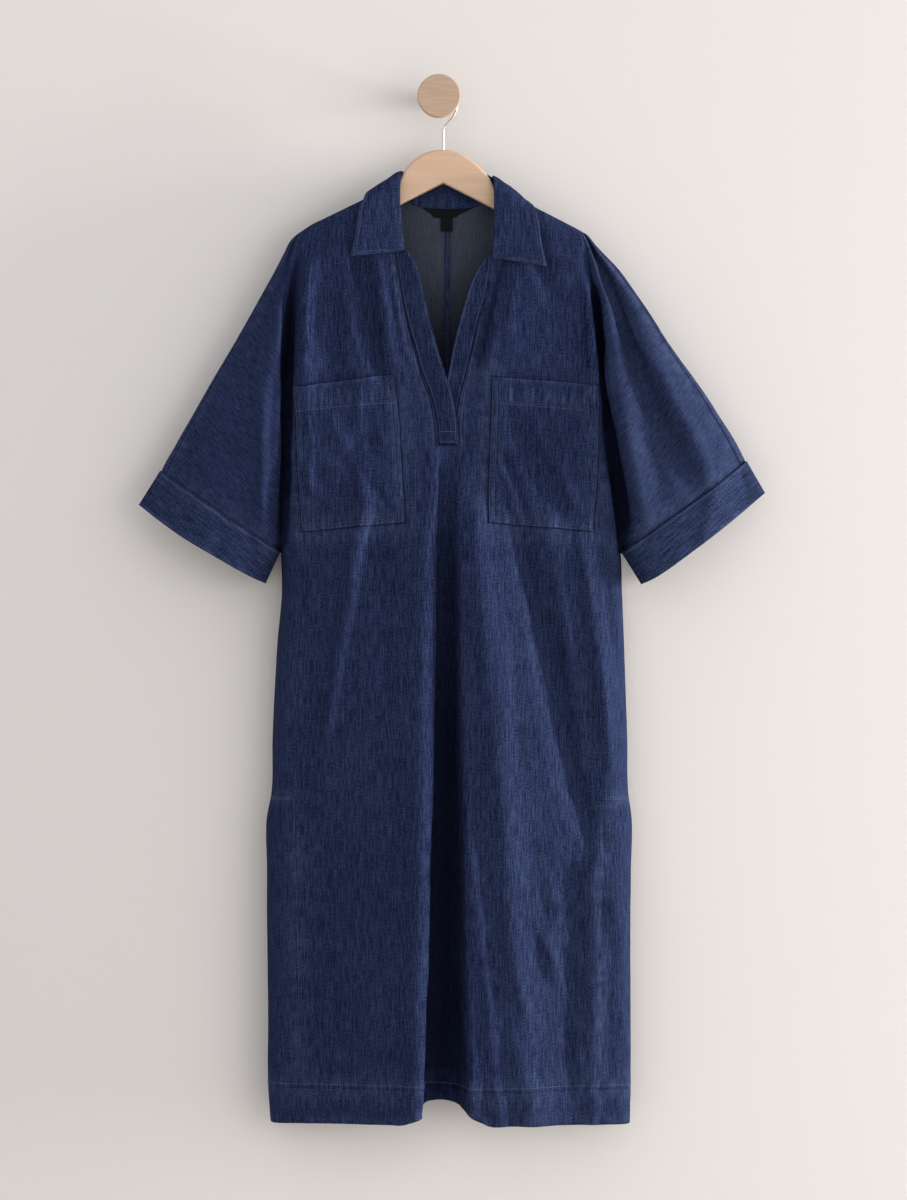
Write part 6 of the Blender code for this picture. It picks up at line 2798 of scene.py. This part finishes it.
            bm = self.needle.sew(spots)
            self.tailor.finish(name + "_stitches", bm, Look.THREAD, self.pieces[name]["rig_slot"])

    # -------------------------------------------------------- measured areas
    def declare(self) -> None:
        """Logs the measured area of every piece of cloth in the cuts."""
        for cut in CUTS:
            piece = self.pieces[cut.name]
            LOG.info("%s: measured %.4f m2 of both faces", cut.name, shown_area(piece))
            list(cut.rests_on)


def tree_of(surface: Surface) -> BVHTree:
    """A search tree of a surface's cells.

    Args:
        surface: The surface.

    Returns:
        The tree.
    """
    points: list[Vector] = []
    number: dict[tuple[int, int], int] = {}
    for i, row in enumerate(surface.points):
        for j, point in enumerate(row):
            if point is not None:
                number[i, j] = len(points)
                points.append(point)
    faces = []
    for i, j in number:
        corners = [(i, j), (i, j + 1), (i + 1, j + 1), (i + 1, j)]
        if all(corner in number for corner in corners):
            faces.append([number[corner] for corner in corners])
    return BVHTree.FromPolygons(points, faces)


def shown_area(obj: bpy.types.Object) -> float:
    """The area of an object with its modifiers.

    Args:
        obj: The object.

    Returns:
        The area of all its faces, in square metres.
    """
    graph = bpy.context.evaluated_depsgraph_get()
    made = obj.evaluated_get(graph).to_mesh()
    return sum(polygon.area for polygon in made.polygons)


# ------------------------------------------------------------------ the hardware
@dataclass
class Hanger:
    """The wooden hanger: a flat bow with rounded edges."""

    tailor: Tailor
    depth: float = 45.0
    thick: float = 14.0
    round: float = 3.4

    def build(self) -> None:
        """Extrudes the outline and rounds it."""
        top = Strand([place(x, 0, z) for x, z in HANGER_TOP])
        outline = [top.at(t) for t in spaced(0, len(HANGER_TOP) - 1, 110)]
        outline += [place(x, 0, z) for x, z in HANGER_UNDER]
        bm = bmesh.new()
        back = -(self.depth - self.thick / 2) * MM
        face = bm.faces.new([bm.verts.new((p.x, back, p.z)) for p in outline])
        pulled = bmesh.ops.extrude_face_region(bm, geom=[face])
        moved = [item for item in pulled["geom"] if isinstance(item, bmesh.types.BMVert)]
        bmesh.ops.translate(bm, verts=moved, vec=(0, -self.thick * MM, 0))
        bmesh.ops.recalc_face_normals(bm, faces=bm.faces[:])
        rims = [e for e in bm.edges if len(e.link_faces) == 2 and e.calc_face_angle(0) > 1.2]
        bevel = {"affect": "EDGES", "profile": 0.5, "material": -1, "clamp_overlap": True}
        bmesh.ops.bevel(bm, geom=rims, offset=self.round * MM, segments=5, **bevel)
        for one in bm.faces:
            one.smooth = abs(one.normal.y) < 0.999
        bmesh.ops.recalc_face_normals(bm, faces=bm.faces[:])
        self.tailor.finish("hanger_wood", bm, Look.BEECH, "hanger", ["hanger"])


@dataclass
class Hook:
    """The wire hook over the peg."""

    tailor: Tailor
    depth: float = 45.0
    wire: float = 1.35

    def build(self) -> None:
        """Bends the wire."""
        route = [place(x, self.depth, z) for x, z in HOOK_PATH]
        line = Strand(route)
        fine = [line.at(t) for t in spaced(0, len(route) - 1, 90)]
        hook = self.tailor.tube("hook_wire", fine, self.wire, Look.WIRE, "hook", sides=4)
        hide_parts("hook")


@dataclass
class Peg:
    """The turned peg: a thick round knob on a stem."""

    ORDER = Vector((1.0, 0.7314, 1.2345))  # no two parts lie equally far along it
    tailor: Tailor
    knob: float = 29.0
    back: float = 52.0
    front: float = 66.0
    stem: float = 9.0
    foot: float = 12.0

    def build(self) -> None:
        """Turns the profile."""
        r, k = self.knob, 1.6
        quarter = math.pi / 2
        front, back = self.front - k, self.back + k
        profile = [(0, 0), (self.foot, 0), (self.foot, 2.6), (self.foot - 0.4, 3.2)]
        profile += [(self.stem, 6.0), (self.stem, self.back)]
        profile += [(r - k + k * math.sin(a), back - k * math.cos(a)) for a in spaced(0, quarter, 6)]
        profile += [(r - k + k * math.sin(a), front + k * math.cos(a)) for a in spaced(quarter, 0, 6)]
        profile.append((0, self.front))
        bm = bmesh.new()
        verts = [bm.verts.new((radius * MM, -d * MM, 0)) for radius, d in profile]
        edges = [bm.edges.new(pair) for pair in zip(verts, verts[1:])]
        turn = {"cent": (0, 0, 0), "axis": (0, 1, 0), "angle": math.tau, "steps": 96}
        bmesh.ops.spin(bm, geom=verts + edges, use_merge=True, **turn)
        bmesh.ops.remove_doubles(bm, verts=bm.verts[:], dist=1e-6)
        bmesh.ops.recalc_face_normals(bm, faces=bm.faces[:])
        # The turning leaves its parts in any order, so they are put in one order.
        bm.verts.sort(key=lambda vert: vert.co.dot(self.ORDER))
        bm.faces.sort(key=lambda face: face.calc_center_median().dot(self.ORDER))
        for face in bm.faces:
            face.smooth = abs(face.normal.y) < 0.98
        self.tailor.finish("peg_wood", bm, Look.PEG_FACE, "peg", ["peg"])


# ------------------------------------------------------------------- the room
@dataclass
class Room:
    """The painted wall, the floor, the light and the camera."""

    tailor: Tailor
    floor_z: float = -1.75
    wide: float = 7.0
    behind: float = 0.0004
    eye: tuple[float, float, float] = (0.0196, -5.20, -0.6806)
    lens: float = 114.2

    def build(self) -> None:
        """Sets the stage."""
        wall = self.plane("wall", Look.WALL)
        upright = Matrix.Rotation(math.pi / 2, 4, "X")
        middle = Matrix.Translation((0, self.behind, self.floor_z + self.wide / 2))
        wall.data.transform(middle @ upright)
        floor = self.plane("floor", Look.FLOOR)
        floor.data.transform(Matrix.Translation((0, -self.wide / 2, self.floor_z)))
        self.lights()
        self.camera()

    def plane(self, name: str, look: Look) -> bpy.types.Object:
        """A square of wall or floor, lying flat.

        Args:
            name: Its name.
            look: Its finish.

        Returns:
            The object.
        """
        bm = bmesh.new()
        bmesh.ops.create_grid(bm, x_segments=1, y_segments=1, size=self.wide / 2)
        return self.tailor.made(name, bm, look)

    def lamp(
        self, name: str, spot: Sequence[float], aim: Sequence[float], size: Pair, power: float, colour: Colour
    ) -> None:
        """Adds a soft rectangular light.

        Args:
            name: Its name.
            spot: Where it stands, in metres.
            aim: What it faces.
            size: Its width and height.
            power: Its power, in watts.
            colour: Its colour.
        """
        light = bpy.data.lights.new(name, "AREA")
        light.shape = "RECTANGLE"
        light.size, light.size_y = size
        light.energy = power
        light.color = colour
        lamp = put(bpy.data.objects.new(name, light))
        lamp.location = spot
        lamp.rotation_euler = (Vector(aim) - Vector(spot)).to_track_quat("-Z", "Y").to_euler()

    def lights(self) -> None:
        """A broad window on the right, a weak light along the wall and an even fill."""
        self.lamp("window", (4.9, -4.7, -0.4), (0.0, 0.0, -0.6), (5.0, 3.0), 100.0, (1.0, 0.985, 0.965))
        self.lamp("side", (6.2, -0.78, -0.5), (0.0, -0.03, -0.6), (0.7, 2.8), 520.0, (1.0, 0.985, 0.965))
        world = bpy.data.worlds.new("room_light")
        world.use_nodes = True
        sky = world.node_tree.nodes["Background"]
        sky.inputs["Color"].default_value = (0.97, 0.975, 1.0, 1.0)
        sky.inputs["Strength"].default_value = 0.83
        bpy.context.scene.world = world

    def camera(self) -> None:
        """Stands the camera straight in front of the dress."""
        lens = bpy.data.cameras.new("camera")
        lens.lens = self.lens
        camera = put(bpy.data.objects.new("camera", lens))
        camera.location = self.eye
        camera.rotation_euler = (math.pi / 2, 0, 0)
        bpy.context.scene.camera = camera
        bpy.context.scene.view_settings.view_transform = "Standard"


def main() -> None:
    """Builds the scene in order."""
    logging.basicConfig(level=logging.INFO, format="%(message)s")
    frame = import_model()
    LOG.info("frame: %d nodes", len(frame["nodes"]))
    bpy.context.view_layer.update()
    tailor = Tailor(Wardrobe())
    Peg(tailor).build()
    Hook(tailor).build()
    Hanger(tailor).build()
    Dress(tailor).build()
    Room(tailor).build()


if __name__ == "__main__":
    main()
